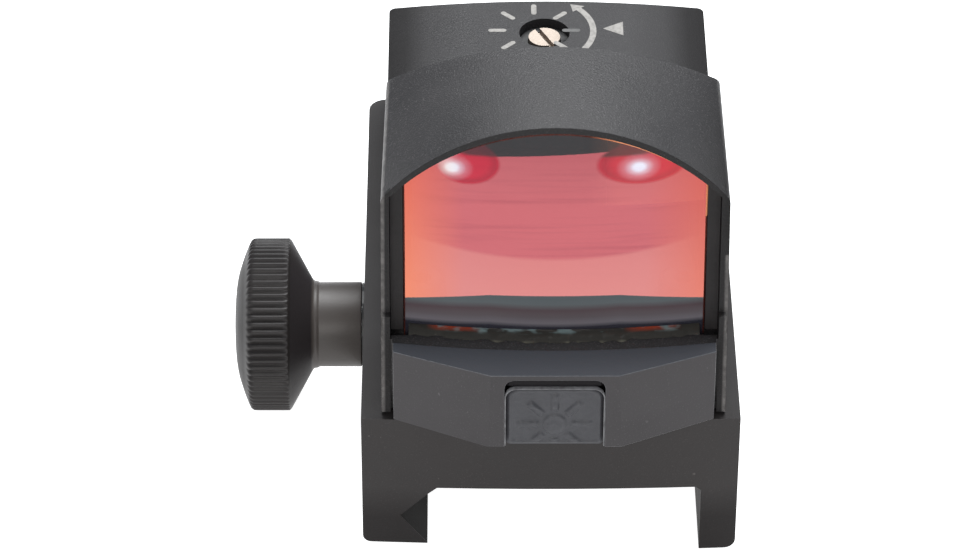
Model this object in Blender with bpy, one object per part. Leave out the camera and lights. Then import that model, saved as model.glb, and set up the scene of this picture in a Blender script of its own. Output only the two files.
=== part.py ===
"""Red dot finder: a hooded reflex sight on a rail base with a side thumb knob.

Frame: origin on the rail seat (the underside of the base's web) at mid-width, SEAT_TO_FRONT behind
the base's front face. +X is to the right seen from the front, +Y runs back to the user's eye and
+Z is up. Working units are millimetres; meshes are scaled to metres as they are made.
"""
import math

import bmesh
import bpy

MM = 0.001

# ---- driving dimensions, mm ----
BASE_HALF_W = 14.0
SEAT_TO_FRONT = 10.0
BASE_LENGTH = 40.66
BASE_TOP = 6.48
BASE_BOW = 0.39
LEG_BOTTOM_RIGHT = -6.07
LEG_BOTTOM_LEFT = -5.43
TOOTH_TIP_X = 9.15
TOOTH_ROOT_X = 11.20
TOOTH_ROOT_Z = -2.76
TOOTH_TOP_Z = -0.64
SEAT_HALF_W = 8.41
RIGHT_LEG_INNER_X = 11.27
REAR_CORNER = 1.4

BODY_X = 0.2
BODY_BOTTOM = 6.68
DECK_HALF_W = 12.52
DECK_Z = 14.87
DECK_REAR_Y = 31.4
DECK_REAR_BOW = 0.95
DECK_CORNER = 0.6
REAR_BLOCK_Y = 17.0
TROUGH_FLOOR = 10.9
LENS_BAY_TOP = 12.83

HOOD_HALF_W = 12.69
HOOD_TAPER = 0.026
HOOD_TOP = 29.54
HOOD_FRONT_ARC = 17.32
HOOD_REAR_ARC = 24.1
HOOD_EDGE_FILLET = 0.8
HOOD_FRONT_Y = -9.5
HOOD_LEAN = 4.1 / 23.48
HOOD_TOP_LENGTH = 10.2
REBATE_HALF_W = 12.0
REBATE_WALL = 0.45
REBATE_ARC = HOOD_FRONT_ARC - REBATE_WALL
TUNNEL_HALF_W = 10.6
TUNNEL_ARC = 17.4
TUNNEL_WALL = 1.2

LENS_HALF_W = 11.0
LENS_FRONT_R = 73.0
LENS_THICK = 2.0
LENS_TILT = math.atan(HOOD_LEAN)
LENS_MID_Y = -7.0
LENS_MID_Z = 20.7
LENS_BOTTOM = 12.05
LENS_EDGE_GAP = 0.3

BEZEL_HALF_W = 11.78
BEZEL_FACET_LOW = 4.9
BEZEL_FACET_HIGH = 4.66
BEZEL_NOSE_LOW = -13.41
BEZEL_NOSE_HIGH = -13.03
BEZEL_SIDE_Y = -10.2
BEZEL_REAR_Y = -9.15
BED_FRONT_Y = -9.98
BEZEL_BOTTOM = 6.6
BEZEL_TOP = 12.93
BEZEL_WALL = 1.0
BEZEL_STEPS = 5

PAD_HALF_W = 3.55
PAD_LOW = 6.78
PAD_HIGH = 11.75
PAD_TOP_GAP = 0.75
PAD_FRONT_Y = -13.28
PAD_THICK = 1.15
PAD_CLEARANCE = 0.12
PAD_CORNER = 0.75
PAD_BOSS_Z = 8.55
SWITCH_Z = 9.4

BOLT_Y = 9.98
BOLT_Z = -0.37
BOLT_R = 2.0
KNOB_R = 6.72
KNOB_NECK_R = 3.3
NECK_END_X = -14.34
KNOB_RIDGES = 72
KNURL_DEPTH = 0.22
JAW_HALF_L = 7.5
JAW_TOP = 3.0
JAW_OUTER_X = 13.85
GUIDE_PIN_SPREAD = 5.2
GUIDE_PIN_Z = 1.2

ADJUSTER_X = 0.0
ELEVATION_Y = 27.9
ADJUSTER_SPACE_Y = 29.6
WINDAGE_Y = 23.2
WINDAGE_Z = 10.4
RECESS_R = 2.0
SCREW_HEAD_R = 1.25
SCREW_SHAFT_R = 1.0
RUNNING_GAP = 0.05

BATTERY_Y = 3.2
BATTERY_R = 8.0
BATTERY_LOW = 6.85
BATTERY_HIGH = 10.05

BODY_SCREW_X = 9.8
BODY_SCREW_Y = -0.5
PIN_PLACES = ((-10.4, -6.2), (10.4, -6.2), (-10.6, 25.0), (10.6, 25.0))
SEAM = 0.1


# ---- scene and mesh helpers ----

def clear_scene():
    for item in list(bpy.data.objects):
        bpy.data.objects.remove(item, do_unlink=True)


def make_material(name, colour, roughness, metallic=0.0):
    material = bpy.data.materials.new(name)
    material.use_nodes = True
    shader = material.node_tree.nodes["Principled BSDF"]
    shader.inputs["Base Color"].default_value = (*colour, 1.0)
    shader.inputs["Roughness"].default_value = roughness
    shader.inputs["Metallic"].default_value = metallic
    return material


def solid(name, points, faces):
    """A closed mesh object from points in mm, with its faces turned outwards."""
    mesh = bpy.data.meshes.new(name)
    mesh.from_pydata([(x * MM, y * MM, z * MM) for x, y, z in points], [], faces)
    work = bmesh.new()
    work.from_mesh(mesh)
    bmesh.ops.recalc_face_normals(work, faces=work.faces)
    work.to_mesh(mesh)
    work.free()
    item = bpy.data.objects.new(name, mesh)
    bpy.context.scene.collection.objects.link(item)
    return item


def to_space(axis, across, up, along):
    """A point of an outline: (across, up) are the two axes other than the one it runs along."""
    if axis == "X":
        return (along, across, up)
    if axis == "Y":
        return (across, along, up)
    return (across, up, along)


def loft(name, axis, sections):
    """A solid through (along, outline) sections with equal point counts; twisted faces are split flat."""
    count = len(sections[0][1])
    points = [to_space(axis, a, b, along) for along, outline in sections for a, b in outline]
    last = len(points) - count
    faces = [list(range(count)), list(range(last, last + count))]
    for k in range(len(sections) - 1):
        a, b = k * count, (k + 1) * count
        for i in range(count):
            j = (i + 1) % count
            if sections[k][1] == sections[k + 1][1]:
                faces.append([a + i, a + j, b + j, b + i])
            else:
                faces += [[a + i, a + j, b + j], [a + i, b + j, b + i]]
    return solid(name, points, faces)


def prism(name, axis, outline, low, high):
    return loft(name, axis, [(low, outline), (high, outline)])


def box(name, low, high):
    outline = [(low[0], low[1]), (high[0], low[1]), (high[0], high[1]), (low[0], high[1])]
    return prism(name, "Z", outline, low[2], high[2])


def turned(name, axis, centre, profile, segments, ripple=None):
    """A turned solid. profile is (along, radius) pairs; centre gives the other two axes."""
    rings = []
    points = []
    for along, radius in profile:
        if radius == 0:
            rings.append([len(points)])
            points.append(to_space(axis, centre[0], centre[1], along))
            continue
        ring = []
        for i in range(segments):
            turn = 2 * math.pi * i / segments
            r = radius if ripple is None else ripple(along, radius, i)
            ring.append(len(points))
            across = centre[0] + r * math.cos(turn)
            points.append(to_space(axis, across, centre[1] + r * math.sin(turn), along))
        rings.append(ring)
    faces = []
    pairs = list(zip(rings, rings[1:]))
    if profile[0][1] != 0:
        pairs.append((rings[-1], rings[0]))
    for first, second in pairs:
        for i in range(segments):
            j = (i + 1) % segments
            if len(first) == 1 and len(second) == 1:
                continue
            if len(first) == 1:
                faces.append([first[0], second[i], second[j]])
            elif len(second) == 1:
                faces.append([first[i], first[j], second[0]])
            else:
                faces.append([first[i], first[j], second[j], second[i]])
    return solid(name, points, faces)


def rod(name, axis, centre, radius, low, high, segments=32):
    return turned(name, axis, centre, [(low, 0), (low, radius), (high, radius), (high, 0)], segments)


def tube(name, axis, centre, inner, outer, low, high, segments=32):
    profile = [(low, inner), (low, outer), (high, outer), (high, inner)]
    return turned(name, axis, centre, profile, segments)


def arc(centre, radius, start, end, steps):
    """Points on an arc in degrees, both ends included."""
    turns = [math.radians(start + (end - start) * i / steps) for i in range(steps + 1)]
    return [(centre[0] + radius * math.cos(t), centre[1] + radius * math.sin(t)) for t in turns]


def rounded_rectangle(low, high, radius, steps=5):
    (x0, y0), (x1, y1) = low, high
    outline = arc((x1 - radius, y1 - radius), radius, 0, 90, steps)
    outline += arc((x0 + radius, y1 - radius), radius, 90, 180, steps)
    outline += arc((x0 + radius, y0 + radius), radius, 180, 270, steps)
    outline += arc((x1 - radius, y0 + radius), radius, 270, 360, steps)
    return outline


def combine(target, tool, operation):
    """Apply a Boolean of target with tool, then remove the tool."""
    modifier = target.modifiers.new("boolean", "BOOLEAN")
    modifier.solver = "EXACT"
    modifier.operation = operation
    modifier.object = tool
    bpy.context.view_layer.update()
    graph = bpy.context.evaluated_depsgraph_get()
    result = bpy.data.meshes.new_from_object(target.evaluated_get(graph))
    target.modifiers.clear()
    target.data = result
    result.name = target.name
    bpy.data.objects.remove(tool, do_unlink=True)
    return target


def cut(target, *tools):
    for tool in tools:
        combine(target, tool, "DIFFERENCE")
    return target


def weld(target, *tools):
    for tool in tools:
        combine(target, tool, "UNION")
    return target


def finish_piece(item, material, smooth_angle=30):
    """Give the piece its material and smooth shading between edges sharper than smooth_angle."""
    item.data.materials.clear()
    item.data.materials.append(material)
    for face in item.data.polygons:
        face.material_index = 0
    item.data.shade_smooth()
    item.data.set_sharp_from_angle(angle=math.radians(smooth_angle))
    return item


def put_on_axis(item, pivot):
    """Move the object's origin to pivot (mm) without moving its shape."""
    x, y, z = (value * MM for value in pivot)
    for vertex in item.data.vertices:
        vertex.co.x -= x
        vertex.co.y -= y
        vertex.co.z -= z
    item.location = (x, y, z)
    return item


# ---- outlines ----

def arch_outline(half_w, radius, top, bottom, steps=28):
    """A front-view outline: upright sides under a round arch, centred on the body."""
    centre_z = top - radius
    side_z = centre_z + math.sqrt(radius ** 2 - half_w ** 2)
    reach = math.degrees(math.atan2(side_z - centre_z, half_w))
    crown = arc((BODY_X, centre_z), radius, reach, 180 - reach, steps)
    return [(BODY_X - half_w, bottom), (BODY_X + half_w, bottom)] + crown


def hood_half_w(y):
    """The hood's half width at y: it narrows slightly towards the rear."""
    return HOOD_HALF_W - HOOD_TAPER * (y - HOOD_FRONT_Y)


def filleted_arch(y, steps=28, fillet_steps=4):
    """The hood's outline at y: an arch with a fillet where it meets each side."""
    radius, half_w = arc_radius_at(y), hood_half_w(y)
    fillet = HOOD_EDGE_FILLET
    centre_z = HOOD_TOP - radius
    fillet_x = half_w - fillet
    fillet_z = centre_z + math.sqrt((radius - fillet) ** 2 - fillet_x ** 2)
    reach = math.degrees(math.atan2(fillet_z - centre_z, fillet_x))
    right = arc((BODY_X + fillet_x, fillet_z), fillet, 0, reach, fillet_steps)
    crown = arc((BODY_X, centre_z), radius, reach, 180 - reach, steps)
    left = arc((BODY_X - fillet_x, fillet_z), fillet, 180 - reach, 180, fillet_steps)
    low_corners = [(BODY_X - half_w, BODY_BOTTOM), (BODY_X + half_w, BODY_BOTTOM)]
    return low_corners + right[:-1] + crown + left[1:]


def arc_radius_at(y):
    """The hood's arch radius at y: its drop at the sides changes evenly from front to rear."""
    top_front = HOOD_FRONT_Y + HOOD_LEAN * (HOOD_TOP - BASE_TOP)
    drops = [r - math.sqrt(r ** 2 - HOOD_HALF_W ** 2) for r in (HOOD_FRONT_ARC, HOOD_REAR_ARC)]
    drop = drops[0] + (drops[1] - drops[0]) * (y - top_front) / HOOD_TOP_LENGTH
    return (HOOD_HALF_W ** 2 + drop ** 2) / (2 * drop)


def lens_surface_y(x, z, offset=0.0):
    """Where the lens's front sphere (moved back by offset) lies along Y at (x, z)."""
    centre_y = LENS_MID_Y + LENS_FRONT_R * math.cos(LENS_TILT)
    centre_z = LENS_MID_Z - LENS_FRONT_R * math.sin(LENS_TILT)
    radius = LENS_FRONT_R - offset
    return centre_y - math.sqrt(radius ** 2 - (x - BODY_X) ** 2 - (z - centre_z) ** 2)


def sheared(item, lean, level):
    """Lean a solid back along Y with height, keeping the points at z = level in place."""
    for vertex in item.data.vertices:
        vertex.co.y += lean * (vertex.co.z - level * MM)
    return item


def bed_curve(y_mid, half_w, steps=12):
    """The curved front edge of the lens bed, from +X to -X, concentric with the lens."""
    xs = [half_w - 2 * half_w * i / steps for i in range(steps + 1)]
    return [(BODY_X + x, y_mid + x * x / (2 * LENS_FRONT_R)) for x in xs]


# ---- rail base and clamp ----

def base_profile():
    """The base seen from the front: legs, the fixed V tooth and the rail seat."""
    right = BASE_HALF_W
    foot = LEG_BOTTOM_RIGHT
    outline = [(-right, BASE_TOP)] + arc((-right + 0.6, LEG_BOTTOM_LEFT + 0.6), 0.6, 180, 270, 5)
    outline += [(-TOOTH_TIP_X, LEG_BOTTOM_LEFT), (-TOOTH_ROOT_X, TOOTH_ROOT_Z)]
    outline += [(-TOOTH_TIP_X, TOOTH_TOP_Z), (-SEAT_HALF_W, 0.0), (RIGHT_LEG_INNER_X - 0.35, 0.0)]
    outline += [(RIGHT_LEG_INNER_X, -0.35), (RIGHT_LEG_INNER_X, foot)]
    outline += arc((right - 0.8, foot + 0.8), 0.8, -90, 0, 5)
    return outline + [(right, BASE_TOP)]


def base_plan(margin=0.0):
    """The base seen from above: a slightly bowed front and rounded rear corners."""
    half = BASE_HALF_W - margin
    front = -SEAT_TO_FRONT + margin
    rear = -SEAT_TO_FRONT + BASE_LENGTH - margin
    xs = [-half + 2 * half * i / 16 for i in range(17)]
    outline = [(x, front - BASE_BOW * (1 - (x / half) ** 2)) for x in xs]
    outline += arc((half - REAR_CORNER, rear - REAR_CORNER), REAR_CORNER, 0, 90, 5)
    outline += arc((-half + REAR_CORNER, rear - REAR_CORNER), REAR_CORNER, 90, 180, 5)
    return outline


def make_mount_base(material):
    base = prism("mount_base", "Z", base_plan(), -9.0, BASE_TOP)
    profile = prism("profile", "Y", base_profile(), -15.0, 35.0)
    combine(base, profile, "INTERSECT")
    pocket_x = RIGHT_LEG_INNER_X + 0.03
    pocket_y = JAW_HALF_L + 0.15
    pocket_front, pocket_rear = BOLT_Y - pocket_y, BOLT_Y + pocket_y
    cut(
        base,
        box("jaw_pocket", (pocket_x, pocket_front, -9.0), (15.0, pocket_rear, JAW_TOP + 0.15)),
        box("tooth_way", (10.5, pocket_front, -9.0), (12.0, pocket_rear, -0.3)),
        rod("bolt_bore", "X", (BOLT_Y, BOLT_Z), BOLT_R + 0.12, -16.0, 12.0),
    )
    for side in (-1, 1):
        x = BODY_X + side * BODY_SCREW_X
        cut(base, rod("screw_hole", "Z", (x, BODY_SCREW_Y), 1.3, 1.6, 8.0, 20))
        pin = (BOLT_Y + side * GUIDE_PIN_SPREAD, GUIDE_PIN_Z)
        cut(base, rod("pin_hole", "X", pin, 0.82, 8.3, 12.0, 20))
    for x, y in PIN_PLACES:
        cut(base, rod("pin_hole", "Z", (BODY_X + x, y), 0.92, 4.6, 8.0, 20))
    return finish_piece(base, material)


def make_clamp_jaw(material):
    """The moving jaw: a plate with the second V tooth, threaded for the cross bolt."""
    outer = JAW_OUTER_X
    inner = TOOTH_ROOT_X + 0.13
    outline = [(outer, JAW_TOP), (inner, JAW_TOP), (inner, TOOTH_ROOT_Z), (TOOTH_TIP_X + 0.15, -5.43)]
    outline += [(TOOTH_TIP_X + 0.8, LEG_BOTTOM_RIGHT), (outer - 0.5, LEG_BOTTOM_RIGHT)]
    outline += [(outer, LEG_BOTTOM_RIGHT + 0.5)]
    jaw = prism("clamp_jaw", "Y", outline, BOLT_Y - JAW_HALF_L, BOLT_Y + JAW_HALF_L)
    cut(jaw, rod("thread", "X", (BOLT_Y, BOLT_Z), BOLT_R + RUNNING_GAP, 9.0, 15.0))
    for side in (-1, 1):
        pin = (BOLT_Y + side * GUIDE_PIN_SPREAD, GUIDE_PIN_Z)
        cut(jaw, rod("pin_bore", "X", pin, 0.87, 9.0, 15.0, 20))
    return put_on_axis(finish_piece(jaw, material), (0, BOLT_Y, BOLT_Z))


def make_jaw_guide_pins(material):
    for label, side in (("front", -1), ("rear", 1)):
        centre = (BOLT_Y + side * GUIDE_PIN_SPREAD, GUIDE_PIN_Z)
        finish_piece(rod("jaw_guide_pin_" + label, "X", centre, 0.8, 8.4, 13.75, 20), material)


def make_cross_bolt(material):
    profile = [(-20.6, 0), (-20.6, BOLT_R), (13.3, BOLT_R), (13.7, BOLT_R - 0.4), (13.7, 0)]
    bolt = turned("cross_bolt", "X", (BOLT_Y, BOLT_Z), profile, 32)
    return put_on_axis(finish_piece(bolt, material), (0, BOLT_Y, BOLT_Z))


def make_thumb_knob(material):
    """A turned knob: neck, cone, straight-knurled rim and domed outer face."""
    rim = [(-20.0, KNOB_R), (-22.75, KNOB_R), (-23.0, KNOB_R - 0.22), (-23.3, KNOB_R - 0.95)]

    def ripple(along, radius, i):
        return radius - (KNURL_DEPTH if i % 2 and (along, radius) in rim else 0.0)

    dome = [(-23.6, 4.95), (-23.85, 4.15), (-24.05, 3.1), (-24.15, 1.9), (-24.15, 0)]
    profile = [(-20.75, 0), (-20.75, BOLT_R + RUNNING_GAP), (NECK_END_X, BOLT_R + RUNNING_GAP)]
    profile += [(NECK_END_X, KNOB_NECK_R - 0.1), (NECK_END_X - 0.1, KNOB_NECK_R), (-17.6, KNOB_NECK_R)]
    profile += [(-17.95, KNOB_NECK_R + 0.1), (-18.25, KNOB_NECK_R + 0.36), (-19.84, KNOB_R - 0.12)]
    profile += rim + dome
    knob = turned("thumb_knob", "X", (BOLT_Y, BOLT_Z), profile, 2 * KNOB_RIDGES, ripple)
    return put_on_axis(finish_piece(knob, material, 40), (0, BOLT_Y, BOLT_Z))


def make_thrust_washer(material):
    washer = tube("thrust_washer", "X", (BOLT_Y, BOLT_Z), BOLT_R + 0.1, KNOB_NECK_R - 0.05, -14.3, -14.05)
    return finish_piece(washer, material)


# ---- sight body ----

def body_plan(half_w, front, rear, corner, bow=0.0, steps=12):
    """The body seen from above: square front corners, round rear ones, a rear edge that may bow out."""
    outline = [(BODY_X - half_w, front), (BODY_X + half_w, front)]
    outline += arc((BODY_X + half_w - corner, rear - corner), corner, 0, 90, 5)
    flat = half_w - corner
    for i in range(1, steps):
        x = flat - 2 * flat * i / steps
        outline.append((BODY_X + x, rear + bow * (1 - (x / flat) ** 2)))
    outline += arc((BODY_X - half_w + corner, rear - corner), corner, 90, 180, 5)
    return outline


def hood_side_profile():
    """The hood seen from the side: leaning front, flat top, and wings falling to the deck."""
    top_front = HOOD_FRONT_Y + HOOD_LEAN * (HOOD_TOP - BASE_TOP)
    rear_top = top_front + HOOD_TOP_LENGTH
    outline = [(HOOD_FRONT_Y + HOOD_LEAN * (BODY_BOTTOM - BASE_TOP), BODY_BOTTOM)]
    outline += [(top_front, HOOD_TOP), (rear_top, HOOD_TOP), (rear_top + 0.75, 23.6)]
    outline += arc((rear_top + 6.6, 23.2), 5.85, 190, 235, 6)
    return outline + [(REAR_BLOCK_Y, DECK_Z - 0.5), (REAR_BLOCK_Y, BODY_BOTTOM)]


def make_housing(material):
    plan = body_plan(DECK_HALF_W, HOOD_FRONT_Y + 0.9, DECK_REAR_Y, DECK_CORNER, DECK_REAR_BOW)
    body = prism("housing", "Z", plan, BODY_BOTTOM, DECK_Z)
    weld(body, make_hood())
    open_hood(body)
    hollow_rear_block(body)
    hollow_underside(body)
    return finish_piece(body, material)


def make_hood():
    """The hood before it is opened: an arch that flattens towards the rear, trimmed to its side view."""
    front, rear, steps = -13.0, 18.0, 14
    stations = [front + (rear - front) * k / steps for k in range(steps + 1)]
    hood = loft("hood", "Y", [(y, filleted_arch(y)) for y in stations])
    return combine(hood, prism("side", "X", hood_side_profile(), -20.0, 20.0), "INTERSECT")


def open_hood(body):
    """Cut the trough behind the lens, the hood's tunnel, the lens rebate and the front opening."""
    x0, x1 = BODY_X - TUNNEL_HALF_W, BODY_X + TUNNEL_HALF_W
    cut(body, box("trough", (x0, -3.0, TROUGH_FLOOR), (x1, REAR_BLOCK_Y, 22.0)))
    tunnel = arch_outline(TUNNEL_HALF_W, TUNNEL_ARC, HOOD_TOP - TUNNEL_WALL, TROUGH_FLOOR)
    cut(body, prism("tunnel", "Y", tunnel, -5.0, REAR_BLOCK_Y))
    rebate_top = HOOD_TOP - REBATE_WALL
    rebate = prism("rebate", "Y", arch_outline(REBATE_HALF_W, REBATE_ARC, rebate_top, 11.9), -6.75, -3.5)
    cut(body, sheared(rebate, HOOD_LEAN, LENS_MID_Z))
    outline = arch_outline(REBATE_HALF_W, REBATE_ARC, rebate_top, LENS_BAY_TOP)
    cut(body, sheared(prism("front_opening", "Y", outline, -18.0, -6.5), HOOD_LEAN, LENS_MID_Z))
    front_low = (BODY_X - REBATE_HALF_W, -16.0, BODY_BOTTOM - 1)
    cut(body, box("bezel_bay", front_low, (BODY_X + REBATE_HALF_W, BEZEL_REAR_Y + SEAM, LENS_BAY_TOP + 0.5)))
    bed_half = REBATE_HALF_W - 0.15
    bed = bed_curve(BED_FRONT_Y, bed_half)
    bed += [(BODY_X - bed_half, -8.4), (BODY_X + bed_half, -8.4)]
    weld(body, prism("lens_bed", "Z", bed, 11.95, LENS_BAY_TOP))


def screw_hole(axis, centre, low, ledge):
    """A cutter: an adjusting screw's bore, widened to a recess beyond the ledge."""
    bore_r = SCREW_SHAFT_R + RUNNING_GAP
    profile = [(low, 0), (low, bore_r), (ledge, bore_r), (ledge, RECESS_R), (16.0, RECESS_R), (16.0, 0)]
    return turned("screw_hole", axis, centre, profile, 40)


def hollow_rear_block(body):
    """The emitter's cavity, its window, and the two adjusting screws' bores."""
    mid = BODY_X
    cut(
        body,
        box("carriage_space", (mid - 6.2, 18.8, 8.0), (mid + 6.2, 25.2, 13.4)),
        box("nut_space", (mid - 6.2, 25.0, 8.0), (mid + 6.2, ADJUSTER_SPACE_Y, 12.2)),
        box("window_opening", (mid - 2.8, 16.5, 11.3), (mid + 2.8, 19.0, 14.1)),
        box("window_slot", (mid - 3.5, 17.3, 10.85), (mid + 3.5, 18.0, 14.45)),
        screw_hole("Z", (ADJUSTER_X, ELEVATION_Y), 11.0, 13.42),
        screw_hole("X", (WINDAGE_Y, WINDAGE_Z), mid + 5.0, mid + 11.07),
    )


def hollow_underside(body):
    """The battery cup, the circuit board's pocket, and holes for screws and pins."""
    mid = BODY_X
    cut(
        body,
        rod("battery_cup", "Z", (mid, BATTERY_Y), BATTERY_R + 0.2, 5.0, 10.25, 64),
        box("contact_slot", (mid - 2.2, 10.2, 5.0), (mid + 6.6, 14.2, 10.25)),
        box("board_pocket", (mid - 8.4, 13.8, 5.0), (mid + 8.4, ADJUSTER_SPACE_Y, 7.7)),
        box("plate_pocket", (mid - 6.4, 18.6, 5.0), (mid + 6.4, ADJUSTER_SPACE_Y, 8.1)),
    )
    for side in (-1, 1):
        centre = (mid + side * BODY_SCREW_X, BODY_SCREW_Y)
        cut(body, rod("screw_bore", "Z", centre, 1.35, 5.0, 12.0, 20))
        cut(body, rod("head_space", "Z", centre, 2.05, TROUGH_FLOOR, 13.6, 28))
    for x, y in PIN_PLACES:
        cut(body, rod("pin_hole", "Z", (mid + x, y), 0.92, 5.0, 8.4, 20))


def make_front_bezel(material):
    """The faceted cover under the lens, hollow behind, with an opening for the push pad."""
    mid = BODY_X

    def outline(facet, nose, inset=0.0):
        half = BEZEL_HALF_W - inset
        side_y = BEZEL_SIDE_Y + inset
        points = [(mid - half, BEZEL_REAR_Y), (mid - half, side_y), (mid - facet, nose + inset)]
        return points + [(mid + facet, nose + inset), (mid + half, side_y), (mid + half, BEZEL_REAR_Y)]

    sections = []
    for step in range(BEZEL_STEPS + 1):
        share = step / BEZEL_STEPS
        facet = BEZEL_FACET_LOW + (BEZEL_FACET_HIGH - BEZEL_FACET_LOW) * share
        nose = BEZEL_NOSE_LOW + (BEZEL_NOSE_HIGH - BEZEL_NOSE_LOW) * share
        height = BEZEL_BOTTOM + (BEZEL_TOP - BEZEL_BOTTOM) * share
        sections.append((height, outline(facet, nose)))
    bezel = loft("front_bezel", "Z", sections)
    inner = outline(BEZEL_FACET_HIGH, BEZEL_NOSE_HIGH, BEZEL_WALL)
    inner = [(x, max(y, BEZEL_NOSE_HIGH + BEZEL_WALL)) for x, y in inner]
    inner = [(x, y + 1.0 if y == BEZEL_REAR_Y else y) for x, y in inner]
    cut(bezel, prism("hollow", "Z", inner, BEZEL_BOTTOM + BEZEL_WALL, 11.85))
    bed = bed_curve(BED_FRONT_Y - SEAM, 14.0)
    bed += [(mid - 14.0, -6.0), (mid + 14.0, -6.0)]
    cut(bezel, prism("bed_clearance", "Z", bed, 11.8, 14.0))
    reach = PAD_HALF_W + PAD_CLEARANCE
    opening = rounded_rectangle((mid - reach, 5.0), (mid + reach, PAD_HIGH + PAD_TOP_GAP), PAD_CORNER)
    cut(bezel, prism("pad_opening", "Y", opening, -16.0, -11.2))
    return finish_piece(bezel, material)


def make_power_button(material):
    """The push pad with a round central boss and the stem behind it."""
    outline = rounded_rectangle(
        (BODY_X - PAD_HALF_W, PAD_LOW), (BODY_X + PAD_HALF_W, PAD_HIGH), PAD_CORNER
    )
    pad = prism("power_button", "Y", outline, PAD_FRONT_Y, PAD_FRONT_Y + PAD_THICK)
    sheared(pad, 0.059, PAD_LOW)
    boss_low, boss_high = PAD_FRONT_Y - 0.1, PAD_FRONT_Y + 0.3
    boss = [(boss_low, 0), (boss_low, 0.6), (boss_high, 0.85), (boss_high, 0)]
    weld(pad, turned("boss", "Y", (BODY_X, PAD_BOSS_Z), boss, 28))
    weld(pad, rod("stem", "Y", (BODY_X, SWITCH_Z), 1.2, PAD_FRONT_Y + 0.6, -11.42, 24))
    return put_on_axis(finish_piece(pad, material), (BODY_X, PAD_FRONT_Y, SWITCH_Z))


def make_tact_switch(material):
    low = (BODY_X - 2.2, -10.9, SWITCH_Z - 1.7)
    high = (BODY_X + 2.2, BEZEL_REAR_Y - 0.05, SWITCH_Z + 1.7)
    switch = box("tact_switch", low, high)
    cut(switch, rod("plunger_hole", "Y", (BODY_X, SWITCH_Z), 0.92, -12.0, -9.8, 24))
    return finish_piece(switch, material)


def make_switch_plunger(material):
    plunger = rod("switch_plunger", "Y", (BODY_X, SWITCH_Z), 0.85, -11.38, -10.3, 24)
    return put_on_axis(finish_piece(plunger, material), (BODY_X, PAD_FRONT_Y, SWITCH_Z))


# ---- lens ----

def lens_outline():
    """The lens's edge seen from the front."""
    top = HOOD_TOP - REBATE_WALL - LENS_EDGE_GAP
    return arch_outline(LENS_HALF_W, REBATE_ARC - LENS_EDGE_GAP, top, LENS_BOTTOM, 24)


def make_lens(material, rings=5):
    """A meniscus between two concentric spheres, cut to the hood's arch."""
    outline = lens_outline()
    dense = []
    for (x0, z0), (x1, z1) in zip(outline, outline[1:] + outline[:1]):
        parts = max(1, round(math.hypot(x1 - x0, z1 - z0) / 2.4))
        dense += [(x0 + (x1 - x0) * k / parts, z0 + (z1 - z0) * k / parts) for k in range(parts)]
    count = len(dense)
    points = []
    for offset in (0.0, LENS_THICK):
        for ring in range(rings, 0, -1):
            share = ring / rings
            for x, z in dense:
                px = BODY_X + (x - BODY_X) * share
                pz = LENS_MID_Z + (z - LENS_MID_Z) * share
                points.append((px, lens_surface_y(px, pz, offset), pz))
        points.append((BODY_X, lens_surface_y(BODY_X, LENS_MID_Z, offset), LENS_MID_Z))
    half = rings * count + 1
    faces = []
    for start in (0, half):
        for ring in range(rings - 1):
            first = start + ring * count
            faces += [
                [first + i, first + (i + 1) % count, first + count + (i + 1) % count, first + count + i]
                for i in range(count)
            ]
        inner = start + (rings - 1) * count
        faces += [[inner + i, inner + (i + 1) % count, start + half - 1] for i in range(count)]
    faces += [[i, (i + 1) % count, half + (i + 1) % count, half + i] for i in range(count)]
    return finish_piece(solid("lens", points, faces), material)


def make_lens_cement(material):
    """The dark bond line that fills the rebate round the lens's sides and top."""
    gap = 0.04
    outer_top = HOOD_TOP - REBATE_WALL - gap
    outer = arch_outline(REBATE_HALF_W - gap, REBATE_ARC - gap, outer_top, 12.9)
    inner_top = HOOD_TOP - REBATE_WALL - LENS_EDGE_GAP + gap
    inner = arch_outline(LENS_HALF_W + gap, REBATE_ARC - LENS_EDGE_GAP + gap, inner_top, 5.0)
    cement = prism("lens_cement", "Y", outer, -6.15, -3.6)
    cut(cement, prism("lens_space", "Y", inner, -12.0, 0.0))
    return finish_piece(sheared(cement, HOOD_LEAN, LENS_MID_Z), material)


def make_foot_sealant(material):
    """The bead that seals the foot of the lens to its bed: a low wedge, highest at the glass."""
    steps = 36
    half = LENS_HALF_W - 0.35
    base_z = LENS_BAY_TOP + 0.02
    points = []
    for i in range(steps + 1):
        share = i / steps
        x = BODY_X - half + 2 * half * share
        wave = 0.09 * math.sin(28.6 * share) + 0.06 * math.sin(13.5 * share + 1)
        glass = lens_surface_y(x, base_z + 0.2) - 0.05
        toe = glass - 1.35 + wave + 0.35 * abs(x - BODY_X) / half
        points += [(x, toe, base_z), (x, toe + 0.35, base_z + 0.22)]
        points += [(x, glass, base_z + 0.42), (x, glass, base_z)]
    faces = [[0, 1, 2, 3], [steps * 4 + k for k in range(4)]]
    for i in range(steps):
        a, b = 4 * i, 4 * i + 4
        faces += [[a + k, a + (k + 1) % 4, b + (k + 1) % 4, b + k] for k in range(4)]
    return finish_piece(solid("foot_sealant", points, faces), material)


# ---- adjusters and emitter ----

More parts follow.
